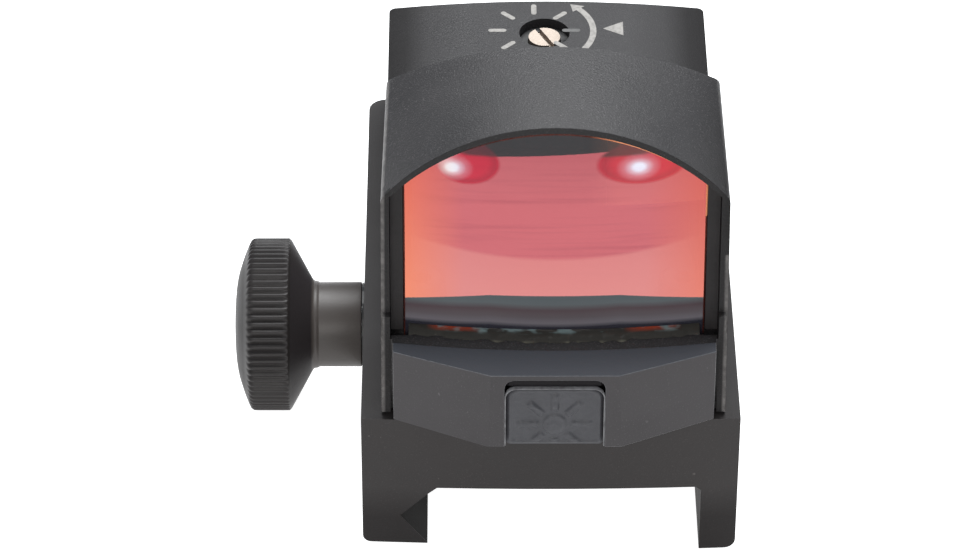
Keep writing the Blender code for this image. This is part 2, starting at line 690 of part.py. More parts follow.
def slotted_screw(name, axis, centre, head_low, head_high, tip, slot_turn, material, pivot):
    """A brass adjusting screw: slotted head in a recess and a plain-drawn threaded shaft."""
    inward = -1 if tip < head_low else 1
    shaft = rod(name, axis, centre, SCREW_SHAFT_R, min(tip, head_low), max(tip, head_low + 0.1), 24)
    weld(shaft, rod("head", axis, centre, SCREW_HEAD_R, head_low, head_high, 36))
    half_l, half_w = 2.0, 0.2
    turn = math.radians(slot_turn)
    corners = [(-half_l, -half_w), (half_l, -half_w), (half_l, half_w), (-half_l, half_w)]
    slot = []
    for a, b in corners:
        across = centre[0] + a * math.cos(turn) - b * math.sin(turn)
        slot.append((across, centre[1] + a * math.sin(turn) + b * math.cos(turn)))
    cut(shaft, prism("slot", axis, slot, head_high - 0.45, head_high - inward * 1.0))
    return put_on_axis(finish_piece(shaft, material), pivot)


def make_elevation_screw(material):
    centre = (ADJUSTER_X, ELEVATION_Y)
    pivot = (ADJUSTER_X, ELEVATION_Y, DECK_Z)
    return slotted_screw("elevation_screw", "Z", centre, 13.5, 14.5, 8.9, 116, material, pivot)


def make_windage_screw(material):
    centre = (WINDAGE_Y, WINDAGE_Z)
    pivot = (BODY_X, WINDAGE_Y, WINDAGE_Z)
    low = BODY_X + 11.15
    return slotted_screw("windage_screw", "X", centre, low, low + 0.95, BODY_X + 2.5, 40, material, pivot)


def make_elevation_o_ring(material):
    ring = tube("elevation_o_ring", "Z", (ADJUSTER_X, ELEVATION_Y), 1.31, 1.94, 13.48, 14.1, 36)
    return finish_piece(ring, material)


def make_windage_o_ring(material):
    low = BODY_X + 11.12
    ring = tube("windage_o_ring", "X", (WINDAGE_Y, WINDAGE_Z), 1.31, 1.94, low, low + 0.6, 36)
    return finish_piece(ring, material)


def make_elevation_nut(material):
    """The block threaded on the elevation screw; its tongue lifts the emitter holder."""
    nut = box("elevation_nut", (ADJUSTER_X - 1.6, 26.0, 9.6), (ADJUSTER_X + 1.6, 29.4, 11.0))
    weld(nut, box("tongue", (ADJUSTER_X - 0.7, 24.0, 10.0), (ADJUSTER_X + 0.7, 26.3, 10.6)))
    cut(nut, rod("thread", "Z", (ADJUSTER_X, ELEVATION_Y), SCREW_SHAFT_R + RUNNING_GAP, 9.0, 12.0, 24))
    return put_on_axis(finish_piece(nut, material), (ADJUSTER_X, ELEVATION_Y, 10.3))


def make_windage_slide(material):
    """The U-shaped slide that guides the emitter holder and is threaded for the windage screw."""
    mid = BODY_X
    slide = box("windage_slide", (mid - 4.0, 21.0, 8.15), (mid + 4.0, 25.2, 8.5))
    for low, high in ((mid - 4.0, mid - 1.85), (mid + 1.85, mid + 4.0)):
        weld(slide, box("upright", (low, 21.4, 8.3), (high, 24.9, 12.4)))
    centre = (WINDAGE_Y, WINDAGE_Z)
    cut(slide, rod("thread", "X", centre, SCREW_SHAFT_R + RUNNING_GAP, mid + 1.0, mid + 5.0, 24))
    return put_on_axis(finish_piece(slide, material), (mid, WINDAGE_Y, WINDAGE_Z))


def make_emitter_holder(material):
    mid = BODY_X
    holder = box("emitter_holder", (mid - 1.75, 21.2, 9.0), (mid + 1.75, 24.9, 12.6))
    cut(holder, box("tongue_slot", (mid - 3.0, 23.8, 9.95), (mid + 3.0, 26.0, 10.65)))
    return put_on_axis(finish_piece(holder, material), (mid, 23.0, 10.3))


def make_led_emitter(material):
    """The emitter: a small package with a clear dome, facing the lens."""
    mid = BODY_X
    led = box("led_emitter", (mid - 0.9, 20.5, 11.2), (mid + 0.9, 21.15, 12.5))
    dome = [(19.95, 0), (20.02, 0.2), (20.2, 0.36), (20.6, 0.42), (20.6, 0)]
    weld(led, turned("dome", "Y", (mid, 11.85), dome, 20))
    return put_on_axis(finish_piece(led, material), (mid, 21.0, 11.85))


def coil_spring(name, axis, centre, low, high, radius, wire, turns, material, steps=14, sides=6):
    """A round-wire coil spring with closed ends."""
    total = int(turns * steps)
    span = high - low - 2 * wire
    points = []
    for i in range(total + 1):
        turn = 2 * math.pi * i / steps
        along = low + wire + span * i / total
        for k in range(sides):
            angle = 2 * math.pi * k / sides
            r = radius + wire * math.cos(angle)
            across = centre[0] + r * math.cos(turn)
            up = centre[1] + r * math.sin(turn)
            points.append(to_space(axis, across, up, along + wire * math.sin(angle)))
    faces = [list(range(sides)), [total * sides + k for k in range(sides)]]
    for i in range(total):
        a, b = i * sides, (i + 1) * sides
        faces += [[a + k, a + (k + 1) % sides, b + (k + 1) % sides, b + k] for k in range(sides)]
    return finish_piece(solid(name, points, faces), material)


def make_emitter_window(material):
    pane = box("emitter_window", (BODY_X - 3.42, 17.38, 10.93), (BODY_X + 3.42, 17.92, 14.37))
    return finish_piece(pane, material)


def make_adjuster_plate(material):
    mid = BODY_X
    return finish_piece(box("adjuster_plate", (mid - 6.3, 18.7, 7.76), (mid + 6.3, 29.5, 8.05)), material)


# ---- power and sealing ----

def make_circuit_board(material):
    mid = BODY_X
    board = box("circuit_board", (mid - 8.25, 14.0, 6.85), (mid + 8.25, 29.2, 7.4))
    for low, high in (((-6.0, 15.0), (-3.2, 17.4)), ((2.4, 15.4), (4.2, 17.2))):
        weld(board, box("chip", (mid + low[0], low[1], 7.3), (mid + high[0], high[1], 7.62)))
    return finish_piece(board, material)


def make_battery(material):
    edge = 0.25
    profile = [(BATTERY_LOW, 0), (BATTERY_LOW, BATTERY_R - 1.0), (BATTERY_LOW + edge, BATTERY_R - edge)]
    profile += [(BATTERY_LOW + 0.6, BATTERY_R), (BATTERY_HIGH - edge, BATTERY_R)]
    profile += [(BATTERY_HIGH, BATTERY_R - edge), (BATTERY_HIGH, 0)]
    return finish_piece(turned("battery", "Z", (BODY_X, BATTERY_Y), profile, 48), material)


def make_battery_contact_top(material):
    """The strip over the cell, bent down to the board."""
    outline = [(-1.0, 10.09), (12.45, 10.09), (12.45, 7.46), (15.2, 7.46), (15.2, 7.58)]
    outline += [(12.57, 7.58), (12.57, 10.21), (-1.0, 10.21)]
    return finish_piece(prism("battery_contact_top", "X", outline, BODY_X - 1.5, BODY_X + 1.5), material)


def make_battery_contact_side(material):
    """The leaf that bears on the cell's rim, with its foot on the board."""
    mid = BODY_X
    strip = [(6.2, 12.9), (3.4, 10.86), (2.6, 11.1), (2.65, 11.25), (3.37, 11.04), (5.85, 12.85)]
    strip += [(5.85, 13.6), (6.2, 13.6)]
    outline = [(mid + x, y) for x, y in strip]
    leaf = prism("battery_contact_side", "Z", outline, 7.8, 9.8)
    weld(leaf, box("foot", (mid + 5.3, 12.9, 7.46), (mid + 6.3, 15.6, 7.6)))
    weld(leaf, box("riser", (mid + 5.85, 12.9, 7.5), (mid + 6.2, 13.6, 8.2)))
    return finish_piece(leaf, material)


def make_base_gasket(material):
    mid = BODY_X
    gasket = prism("base_gasket", "Z", body_plan(12.1, -8.7, 30.5, 1.0), 6.51, 6.65)
    cut(
        gasket,
        rod("cell_space", "Z", (mid, BATTERY_Y), BATTERY_R + 0.3, 5.0, 8.0, 64),
        box("board_space", (mid - 8.5, 10.2, 5.0), (mid + 8.5, 29.5, 8.0)),
    )
    for side in (-1, 1):
        cut(gasket, rod("hole", "Z", (mid + side * BODY_SCREW_X, BODY_SCREW_Y), 1.4, 5.0, 8.0, 20))
    for x, y in PIN_PLACES:
        cut(gasket, rod("hole", "Z", (mid + x, y), 1.0, 5.0, 8.0, 20))
    return finish_piece(gasket, material)


def make_body_screws(material):
    """The two screws behind the lens that hold the sight body down on the base."""
    for label, side in (("left", -1), ("right", 1)):
        centre = (BODY_X + side * BODY_SCREW_X, BODY_SCREW_Y)
        profile = [(1.8, 0), (1.8, 1.0), (2.1, 1.25), (10.95, 1.25), (10.95, 1.9)]
        profile += [(12.0, 1.9), (12.3, 1.5), (12.3, 0)]
        screw = turned("body_screw_" + label, "Z", centre, profile, 24)
        cut(screw, rod("socket", "Z", centre, 0.85, 11.3, 13.0, 6))
        finish_piece(screw, material)


def make_locating_pins(material):
    for number, (x, y) in enumerate(PIN_PLACES, 1):
        finish_piece(rod(f"locating_pin_{number}", "Z", (BODY_X + x, y), 0.86, 4.7, 8.3, 20), material)


def main():
    clear_scene()
    anodised = (0.048, 0.046, 0.046)
    brass = (0.70, 0.56, 0.33)
    steel = (0.55, 0.55, 0.56)
    black_rubber = (0.03, 0.03, 0.03)
    make_mount_base(make_material("mount_base", anodised, 0.55, 0.3))
    make_clamp_jaw(make_material("clamp_jaw", anodised, 0.55, 0.3))
    make_jaw_guide_pins(make_material("jaw_guide_pins", steel, 0.35, 1.0))
    make_cross_bolt(make_material("cross_bolt", steel, 0.35, 1.0))
    make_thumb_knob(make_material("thumb_knob", (0.03, 0.03, 0.03), 0.45, 0.3))
    make_thrust_washer(make_material("thrust_washer", (0.1, 0.1, 0.1), 0.4, 0.8))
    make_housing(make_material("housing", (0.055, 0.053, 0.053), 0.5, 0.3))
    make_front_bezel(make_material("front_bezel", (0.07, 0.067, 0.068), 0.5, 0.3))
    make_power_button(make_material("power_button", black_rubber, 0.7))
    make_tact_switch(make_material("tact_switch", (0.1, 0.1, 0.1), 0.5))
    make_switch_plunger(make_material("switch_plunger", (0.5, 0.5, 0.45), 0.5))
    make_lens(make_material("lens", (0.75, 0.2, 0.2), 0.05))
    make_lens_cement(make_material("lens_cement", (0.01, 0.01, 0.01), 0.3))
    make_foot_sealant(make_material("foot_sealant", (0.01, 0.01, 0.01), 0.2))
    make_elevation_screw(make_material("elevation_screw", brass, 0.35, 1.0))
    make_elevation_o_ring(make_material("elevation_o_ring", black_rubber, 0.6))
    make_elevation_nut(make_material("elevation_nut", brass, 0.35, 1.0))
    make_windage_screw(make_material("windage_screw", brass, 0.35, 1.0))
    make_windage_o_ring(make_material("windage_o_ring", black_rubber, 0.6))
    make_windage_slide(make_material("windage_slide", steel, 0.4, 1.0))
    make_emitter_holder(make_material("emitter_holder", (0.02, 0.02, 0.02), 0.5))
    make_led_emitter(make_material("led_emitter", (0.8, 0.1, 0.08), 0.2))
    spring_steel = make_material("elevation_spring", steel, 0.3, 1.0)
    centre = (ADJUSTER_X, ELEVATION_Y)
    coil_spring("elevation_spring", "Z", centre, 8.07, 9.57, 1.4, 0.14, 2.5, spring_steel)
    centre = (WINDAGE_Y, WINDAGE_Z)
    spring_steel = make_material("windage_spring", steel, 0.3, 1.0)
    coil_spring("windage_spring", "X", centre, BODY_X - 6.15, BODY_X - 4.03, 1.2, 0.14, 3.5, spring_steel)
    make_emitter_window(make_material("emitter_window", (0.8, 0.85, 0.85), 0.1))
    make_adjuster_plate(make_material("adjuster_plate", steel, 0.4, 1.0))
    make_circuit_board(make_material("circuit_board", (0.02, 0.15, 0.06), 0.5))
    make_battery(make_material("battery", steel, 0.3, 1.0))
    make_battery_contact_top(make_material("battery_contact_top", brass, 0.3, 1.0))
    make_battery_contact_side(make_material("battery_contact_side", brass, 0.3, 1.0))
    make_base_gasket(make_material("base_gasket", black_rubber, 0.7))
    make_body_screws(make_material("body_screws", (0.08, 0.08, 0.08), 0.4, 0.8))
    make_locating_pins(make_material("locating_pins", steel, 0.35, 1.0))


main()
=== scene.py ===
"""Looks of the red dot finder: materials, fine surface pieces, studio, floor and camera.

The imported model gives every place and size; this file adds finish and fine detail round it.
Lengths that are written out are in millimetres; MM turns them into metres.
"""
import math

import bmesh
import bpy
import numpy as np
from mathutils import Matrix, Vector, noise


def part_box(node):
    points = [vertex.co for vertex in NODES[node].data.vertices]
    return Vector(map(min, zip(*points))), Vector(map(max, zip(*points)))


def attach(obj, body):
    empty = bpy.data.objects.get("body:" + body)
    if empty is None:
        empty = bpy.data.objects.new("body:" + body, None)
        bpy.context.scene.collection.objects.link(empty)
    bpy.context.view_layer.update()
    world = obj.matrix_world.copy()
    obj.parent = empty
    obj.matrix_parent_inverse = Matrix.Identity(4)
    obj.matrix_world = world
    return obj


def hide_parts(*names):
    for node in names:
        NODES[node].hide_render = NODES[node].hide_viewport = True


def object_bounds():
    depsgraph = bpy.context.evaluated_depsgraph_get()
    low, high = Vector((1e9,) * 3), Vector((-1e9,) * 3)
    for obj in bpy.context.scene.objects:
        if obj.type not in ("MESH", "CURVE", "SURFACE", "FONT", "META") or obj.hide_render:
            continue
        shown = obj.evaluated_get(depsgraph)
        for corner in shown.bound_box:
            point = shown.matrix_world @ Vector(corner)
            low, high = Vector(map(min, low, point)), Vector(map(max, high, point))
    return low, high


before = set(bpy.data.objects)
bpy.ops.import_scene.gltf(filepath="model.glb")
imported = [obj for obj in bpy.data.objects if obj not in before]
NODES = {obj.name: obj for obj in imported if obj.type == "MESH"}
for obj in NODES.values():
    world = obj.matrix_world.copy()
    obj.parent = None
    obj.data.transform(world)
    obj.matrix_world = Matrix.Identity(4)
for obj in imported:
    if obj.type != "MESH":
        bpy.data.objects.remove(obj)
CAD_BOX = [list(corner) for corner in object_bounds()]
MM = 0.001


def box_mm(node):
    """The node's lowest and highest corners, in mm."""
    low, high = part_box(node)
    return Vector(low) / MM, Vector(high) / MM


# ---- places read from the imported model, mm ----
BEZEL_LOW, BEZEL_HIGH = box_mm("front_bezel")
BODY_X = (BEZEL_LOW.x + BEZEL_HIGH.x) / 2
SCREW_LOW, SCREW_HIGH = box_mm("elevation_screw")
SCREW_X = (SCREW_LOW.x + SCREW_HIGH.x) / 2
SCREW_Y = (SCREW_LOW.y + SCREW_HIGH.y) / 2
DECK_Z = SCREW_HIGH.z + 0.37
PAD_LOW, PAD_HIGH = box_mm("power_button")
KNOB_LOW, KNOB_HIGH = box_mm("thumb_knob")
KNOB_Y = (KNOB_LOW.y + KNOB_HIGH.y) / 2
KNOB_Z = (KNOB_LOW.z + KNOB_HIGH.z) / 2
BOLT_LOW, BOLT_HIGH = box_mm("cross_bolt")
LENS_LOW, LENS_HIGH = box_mm("lens")
SEAL_LOW, SEAL_HIGH = box_mm("foot_sealant")
FLOOR_Z = CAD_BOX[0][2] / MM

# ---- the housing's and the cover's own lines, mm ----
HOOD_SLOPE = 0.1746  # how far the hood's front leans back, for each mm of height
HOOD_FACE_Y = -10.63  # the y that the hood's front would reach at z = 0
LIP_Z = 23.8  # the hood's front lip starts here
POST_Z = (6.0, 24.7)  # foot and top of the posts' front strips
POST_REACH = 11.9  # the strips lie further from the middle than this
DECK_START_Y = 9.0
FLANK_REACH = 12.69  # from the middle to the flank's edge, at y = TAPER_START_Y
TAPER_START_Y = -9.5
TAPER = 0.026  # the flanks draw in by this much for each mm of length
HIGHLIGHT_TO_Y = 5.0  # the painted highlight along the rim of the hood's flanks runs from the front to here
HIGHLIGHT_TO_Z = 19.5  # and on the right no higher than this
PAD_LEAN = 0.059  # how far the cover's front leans back, for each mm of height
PAD_SIGN_Z = 8.55
FOOT_REFLECTION_Z = 16.05  # the lens's foot is painted with reflections below here, a little lower towards the sides

# ---- the base's own lines, mm ----
BASE_FACE_Y = -10.12  # what lies behind the base's front face
GROOVE_X = (-11.4, -8.6)  # the left leg's V groove
RIGHT_LEG_X = (10.4, 11.5)  # the right leg's inner side

# ---- mesh work, mm and degrees ----
MERGE = 0.002  # points nearer than this are one point
FLAT = math.radians(0.4)  # faces that meet at less than this become one face
SHARP_DEG = 28  # edges that turn more than this are broken with a small bevel

# ---- camera: pose in mm and degrees, lens in mm on a 36 mm sensor ----
CAMERA_PLACE = (-6.470, -267.643, 217.818)
CAMERA_PITCH = 37.542
CAMERA_YAW = 0.417
CAMERA_ROLL = 0.211
CAMERA_LENS = 166.42
SENSOR_WIDTH = 36

# ---- colours of the dark anodised pieces ----
BASE_COLOUR = (0.021, 0.0182, 0.0178)
BODY_COLOUR = (0.029, 0.0275, 0.028)
PANEL_COLOUR = (0.038, 0.035, 0.0365)
KNOB_COLOUR = (0.021, 0.0185, 0.018)


def make_camera():
    """The camera, looking down on the finder's front."""
    pitch, yaw, roll = (math.radians(a) for a in (CAMERA_PITCH, CAMERA_YAW, CAMERA_ROLL))
    forward = math.cos(pitch)
    ahead = Vector((math.sin(yaw) * forward, math.cos(yaw) * forward, -math.sin(pitch)))
    level = Vector((math.cos(yaw), -math.sin(yaw), 0))
    upward = level.cross(ahead)
    right = level * math.cos(roll) + upward * math.sin(roll)
    top = upward * math.cos(roll) - level * math.sin(roll)
    data = bpy.data.cameras.new("camera")
    data.lens = CAMERA_LENS
    data.sensor_width = SENSOR_WIDTH
    data.clip_start = 0.01
    data.clip_end = 20
    camera = bpy.data.objects.new("camera", data)
    turn = Matrix((right, top, -ahead)).transposed().to_4x4()
    camera.matrix_world = Matrix.Translation(Vector(CAMERA_PLACE) * MM) @ turn
    bpy.context.scene.collection.objects.link(camera)
    bpy.context.scene.camera = camera


# ---- node helpers ----

class Shader:
    """A small builder for one node material round a Principled BSDF."""

    def __init__(self, name, colour=(0.5, 0.5, 0.5), roughness=0.5, metallic=0.0, **sockets):
        self.material = bpy.data.materials.new(name)
        self.material.use_nodes = True
        self.tree = self.material.node_tree
        self.bsdf = self.tree.nodes["Principled BSDF"]
        self.set("Base Color", (*colour, 1.0))
        self.set("Roughness", roughness)
        self.set("Metallic", metallic)
        for socket, value in sockets.items():
            self.set(socket.replace("_", " "), value)
        self.place = self.tree.nodes.new("ShaderNodeTexCoord").outputs["Object"]

    def set(self, socket, value):
        """Set one of the surface's own sockets to a constant."""
        self.bsdf.inputs[socket].default_value = value

    def link(self, source, socket):
        """Drive one of the surface's sockets."""
        self.tree.links.new(source, self.bsdf.inputs[socket])

    def axes(self):
        """The place on the surface as separate X, Y and Z, in mm."""
        split = self.tree.nodes.new("ShaderNodeSeparateXYZ")
        self.tree.links.new(self.place, split.inputs[0])
        return [self.over(output, MM) for output in split.outputs]

    def noise(self, size_mm, detail, stretch=(1, 1, 1)):
        """Noise whose features are about size_mm across."""
        mapping = self.tree.nodes.new("ShaderNodeMapping")
        mapping.inputs["Scale"].default_value = [1.0 / (size_mm * MM) / s for s in stretch]
        self.tree.links.new(self.place, mapping.inputs["Vector"])
        node = self.tree.nodes.new("ShaderNodeTexNoise")
        node.inputs["Scale"].default_value = 1.0
        node.inputs["Detail"].default_value = detail
        node.inputs["Roughness"].default_value = 0.55
        self.tree.links.new(mapping.outputs["Vector"], node.inputs["Vector"])
        return node.outputs["Fac"]

    def ramp(self, source, stops):
        """stops: (position, value or colour) pairs."""
        node = self.tree.nodes.new("ShaderNodeValToRGB")
        elements = node.color_ramp.elements
        while len(elements) < len(stops):
            elements.new(0.5)
        for element, (position, value) in zip(elements, stops):
            element.position = position
            colour = value if isinstance(value, (tuple, list)) else (value, value, value)
            element.color = (*colour, 1.0)
        self.tree.links.new(source, node.inputs["Fac"])
        return node.outputs["Color"]

    def mix(self, factor, first, second):
        """first where factor is 0, second where it is 1; each is a socket or a constant."""
        node = self.tree.nodes.new("ShaderNodeMix")
        node.data_type = "RGBA"
        for index, value in ((0, factor), (6, first), (7, second)):
            if hasattr(value, "is_output"):
                self.tree.links.new(value, node.inputs[index])
            elif index == 0:
                node.inputs[0].default_value = value
            else:
                node.inputs[index].default_value = (*value, 1.0)
        return node.outputs[2]

    def math(self, operation, first, second=0.0):
        """One sum on two values; each is a socket or a number."""
        node = self.tree.nodes.new("ShaderNodeMath")
        node.operation = operation
        for index, value in enumerate((first, second)):
            if hasattr(value, "is_output"):
                self.tree.links.new(value, node.inputs[index])
            else:
                node.inputs[index].default_value = value
        return node.outputs[0]

    def plus(self, first, second):
        return self.math("ADD", first, second)

    def minus(self, first, second):
        return self.math("SUBTRACT", first, second)

    def times(self, first, second):
        return self.math("MULTIPLY", first, second)

    def over(self, first, second):
        return self.math("DIVIDE", first, second)

    def most(self, first, second):
        return self.math("MAXIMUM", first, second)

    def above(self, value, limit):
        """1 where value is more than limit, else 0."""
        return self.math("GREATER_THAN", value, limit)

    def under(self, value, limit):
        """1 where value is less than limit, else 0."""
        return self.math("LESS_THAN", value, limit)

    def between(self, value, low, high):
        """1 where value lies between low and high, else 0."""
        return self.times(self.above(value, low), self.under(value, high))

    def off_middle(self, x):
        """How far x lies to either side of the body's middle, in mm."""
        return self.math("ABSOLUTE", self.minus(x, BODY_X))

    def bump(self, height, depth_mm):
        """Fine relief, depth_mm deep where height is 1."""
        node = self.tree.nodes.new("ShaderNodeBump")
        node.inputs["Strength"].default_value = 1.0
        node.inputs["Distance"].default_value = depth_mm * MM
        self.tree.links.new(height, node.inputs["Height"])
        return node.outputs["Normal"]


def scaled(colour, factor):
    """The colour made lighter or darker."""
    return tuple(min(1.0, c * factor) for c in colour)


def anodised(name, colour, grain_mm, depth_mm, roughness, speckle, scuffs=0.0, sheen=0.22, zone=None):
    """Blasted and anodised aluminium: grain, faint speckle, slow shade changes and handling marks.

    zone(shader) gives a mask, the colour inside it, and the sheen over the whole surface or None.
    """
    shader = Shader(name, colour, roughness, 0.0, Specular_IOR_Level=sheen)
    grain = shader.noise(grain_mm, 2.0)
    slow = shader.noise(6.0, 2.0)
    fine = shader.noise(grain_mm * 0.6, 1.0)
    base = shader.mix(shader.ramp(slow, [(0.35, 0.0), (0.65, 1.0)]), scaled(colour, 0.86), colour)
    spots = shader.ramp(fine, [(0.62, 0.0), (0.76, 1.0)])
    tone = shader.mix(spots, base, scaled(colour, speckle))
    if scuffs:
        marks = shader.ramp(shader.noise(0.5, 1.0, (1.0, 0.45, 1.0)), [(0.76, 0.0), (0.8, 1.0)])
        patch = shader.ramp(shader.noise(3.5, 1.0), [(0.5, 0.0), (0.6, 1.0)])
        marks = shader.times(marks, patch)
        tone = shader.mix(marks, tone, scaled(colour, 1.0 + scuffs))
    if zone:
        mask, zone_colour, zone_sheen = zone(shader)
        tone = shader.mix(mask, tone, zone_colour)
        if zone_sheen is not None:
            shader.link(zone_sheen, "Specular IOR Level")
    shader.link(tone, "Base Color")
    shader.link(shader.ramp(slow, [(0.3, roughness - 0.06), (0.7, roughness + 0.06)]), "Roughness")
    shader.link(shader.bump(grain, depth_mm), "Normal")
    return shader.material


def body_zones(shader):
    """Painted shade on the hood's lip, post strips, deck sides and right flank; a painted highlight
    on its rim.
    """
    x, y, z = shader.axes()
    aside = shader.off_middle(x)
    face = shader.plus(shader.times(z, HOOD_SLOPE), HOOD_FACE_Y)
    # Painted shade: the hood's front lip and the posts' front strips below it are darkened.
    lip = shader.times(shader.under(y, shader.plus(face, 0.06)), shader.above(z, LIP_Z))
    strip = shader.times(shader.under(y, shader.plus(face, 0.3)), shader.between(z, *POST_Z))
    strip = shader.times(strip, shader.above(aside, POST_REACH))
    # Painted shade: the deck is darkened towards its sides, least in the middle.
    deck = shader.between(z, DECK_Z - 0.03, DECK_Z + 0.05)
    deck = shader.times(deck, shader.above(y, DECK_START_Y))
    toward_sides = [(0.5, 0.0), (0.72, 0.35), (0.86, 0.9), (0.95, 1.0)]
    deck = shader.times(deck, shader.ramp(shader.over(aside, 13.0), toward_sides))
    # Painted shade: high on the hood's right flank.
    right = shader.ramp(shader.over(shader.minus(x, BODY_X + 8.0), 5.0), [(0.0, 0.0), (0.9, 0.9)])
    height = shader.over(shader.minus(z, 18.0), 10.0)
    band = shader.ramp(height, [(0.0, 0.0), (0.3, 1.0), (0.65, 1.0), (0.95, 0.0)])
    edges = shader.most(shader.times(lip, 0.66), shader.times(strip, 0.8))
    dark = shader.most(shader.most(edges, deck), shader.times(right, band))
    # Painted highlight: a patchy pale band along the rim of the hood's flanks, from the front back,
    # on the right only low down.
    taper = shader.times(shader.plus(y, -TAPER_START_Y), TAPER)
    inset = shader.minus(FLANK_REACH, shader.plus(aside, taper))
    rim = shader.ramp(inset, [(0.0, 0.0), (0.03, 1.0), (0.2, 1.0), (0.34, 0.0)])
    rim = shader.times(rim, shader.under(y, HIGHLIGHT_TO_Y))
    rim = shader.times(rim, shader.most(shader.under(x, 0.0), shader.under(z, HIGHLIGHT_TO_Z)))
    rim = shader.times(rim, shader.ramp(shader.noise(0.5, 3.0), [(0.3, 0.55), (0.65, 1.0)]))
    # Dark colour for the painted shade, pale colour for the painted highlight; less sheen where the
    # shade is painted.
    tone = shader.mix(rim, (0.009, 0.008, 0.008), (0.115, 0.108, 0.104))
    return shader.most(dark, rim), tone, shader.ramp(dark, [(0.0, 0.27), (1.0, 0.1)])


def base_zones(shader):
    """Painted shade on the flanks behind the left V groove, on the right leg's inner side and low
    down on the legs.
    """
    x, y, z = shader.axes()
    # Painted shade: a near black colour with little sheen where the flanks lie in shadow, and darker
    # towards the bottom of the legs.
    behind = shader.above(y, BASE_FACE_Y)
    groove = shader.most(shader.between(x, *GROOVE_X), shader.between(x, *RIGHT_LEG_X))
    groove = shader.times(shader.times(groove, behind), shader.under(z, -0.3))
    legs = shader.ramp(shader.over(z, -6.0), [(0.0, 0.0), (0.5, 0.5)])
    mask = shader.most(groove, legs)
    return mask, (0.006, 0.005, 0.005), shader.ramp(mask, [(0.0, 0.22), (1.0, 0.06)])


def knob_zones(shader):
    """The knob's dull dome and cone, with its cone and neck painted paler than its head, the neck
    browner: painted light.

    share runs from 0 at x = -24 mm to 1 at x = -14 mm.
    """
    share = shader.over(shader.plus(shader.axes()[0], 24.0), 10.0)
    cone, neck = (0.027, 0.0235, 0.0245), (0.052, 0.045, 0.041)
    # Painted light: cone and neck painted paler than the head, the neck browner, for how they are
    # lit.
    tone = shader.ramp(share, [(0.42, cone), (0.575, cone), (0.585, neck)])
    dull = [(0.06, 0.05), (0.10, 0.2), (0.41, 0.2), (0.43, 0.1), (0.575, 0.1), (0.585, 0.42)]
    return shader.above(share, 0.425), tone, shader.ramp(share, dull)


def bay_top_skylight(shader):
    """The flat top of the front cover, painted lighter and bluer than its faces: painted skylight."""
    z = shader.axes()[2]
    return shader.above(z, BEZEL_HIGH.z - 0.06), (0.051, 0.054, 0.063), None


def edge_wear_and_highlight(name, colour, light, grain_mm=0.25, only_left_of=None):
    """The lighter bevels of an anodised piece: rubbed patches where the dark layer is thin, which
    also serve as a painted edge highlight.
    """
    shader = Shader(name, colour, 0.42, 0.0, Specular_IOR_Level=0.3)
    patches = shader.ramp(shader.noise(grain_mm, 3.0), [(0.35, 0.25), (0.6, 1.0)])
    # Painted highlight: with only_left_of, the pale patches show only on the edges left of that x.
    if only_left_of is not None:
        beyond = shader.above(only_left_of, shader.axes()[0])
        patches = shader.times(patches, shader.most(beyond, 0.12))
    shader.link(shader.mix(patches, scaled(colour, 1.2), light), "Base Color")
    shader.link(shader.bump(shader.noise(0.12, 2.0), 0.004), "Normal")
    return shader.material


def machined(name, colour, roughness):
    """Turned or milled bare metal with fine tool marks."""
    shader = Shader(name, colour, roughness, 1.0)
    marks = shader.noise(0.12, 3.0)
    slow = shader.noise(1.5, 2.0)
    shader.link(shader.ramp(slow, [(0.3, roughness - 0.08), (0.7, roughness + 0.12)]), "Roughness")
    shares = shader.ramp(marks, [(0.35, 0.0), (0.7, 1.0)])
    shader.link(shader.mix(shares, scaled(colour, 0.8), colour), "Base Color")
    shader.link(shader.bump(marks, 0.004), "Normal")
    return shader.material


def moulded(name, colour, roughness, grain_mm=0.15, depth_mm=0.01, **sockets):
    """Rubber or plastic with a fine moulded grain."""
    shader = Shader(name, colour, roughness, 0.0, **sockets)
    grain = shader.noise(grain_mm, 3.0)
    slow = shader.noise(2.5, 2.0)
    patches = shader.ramp(slow, [(0.3, 0.0), (0.75, 1.0)])
    shader.link(shader.mix(patches, colour, scaled(colour, 1.25)), "Base Color")
    shader.link(shader.ramp(grain, [(0.3, roughness - 0.07), (0.7, roughness + 0.07)]), "Roughness")
    shader.link(shader.bump(grain, depth_mm), "Normal")
    return shader.material


def printed(name, colour):
    """Thin pad-printed paint, slightly rubbed."""
    shader = Shader(name, colour, 0.6)
    rubbed = shader.ramp(shader.noise(0.3, 3.0), [(0.35, 0.0), (0.6, 1.0)])
    shader.link(shader.mix(rubbed, scaled(colour, 0.72), colour), "Base Color")
    return shader.material


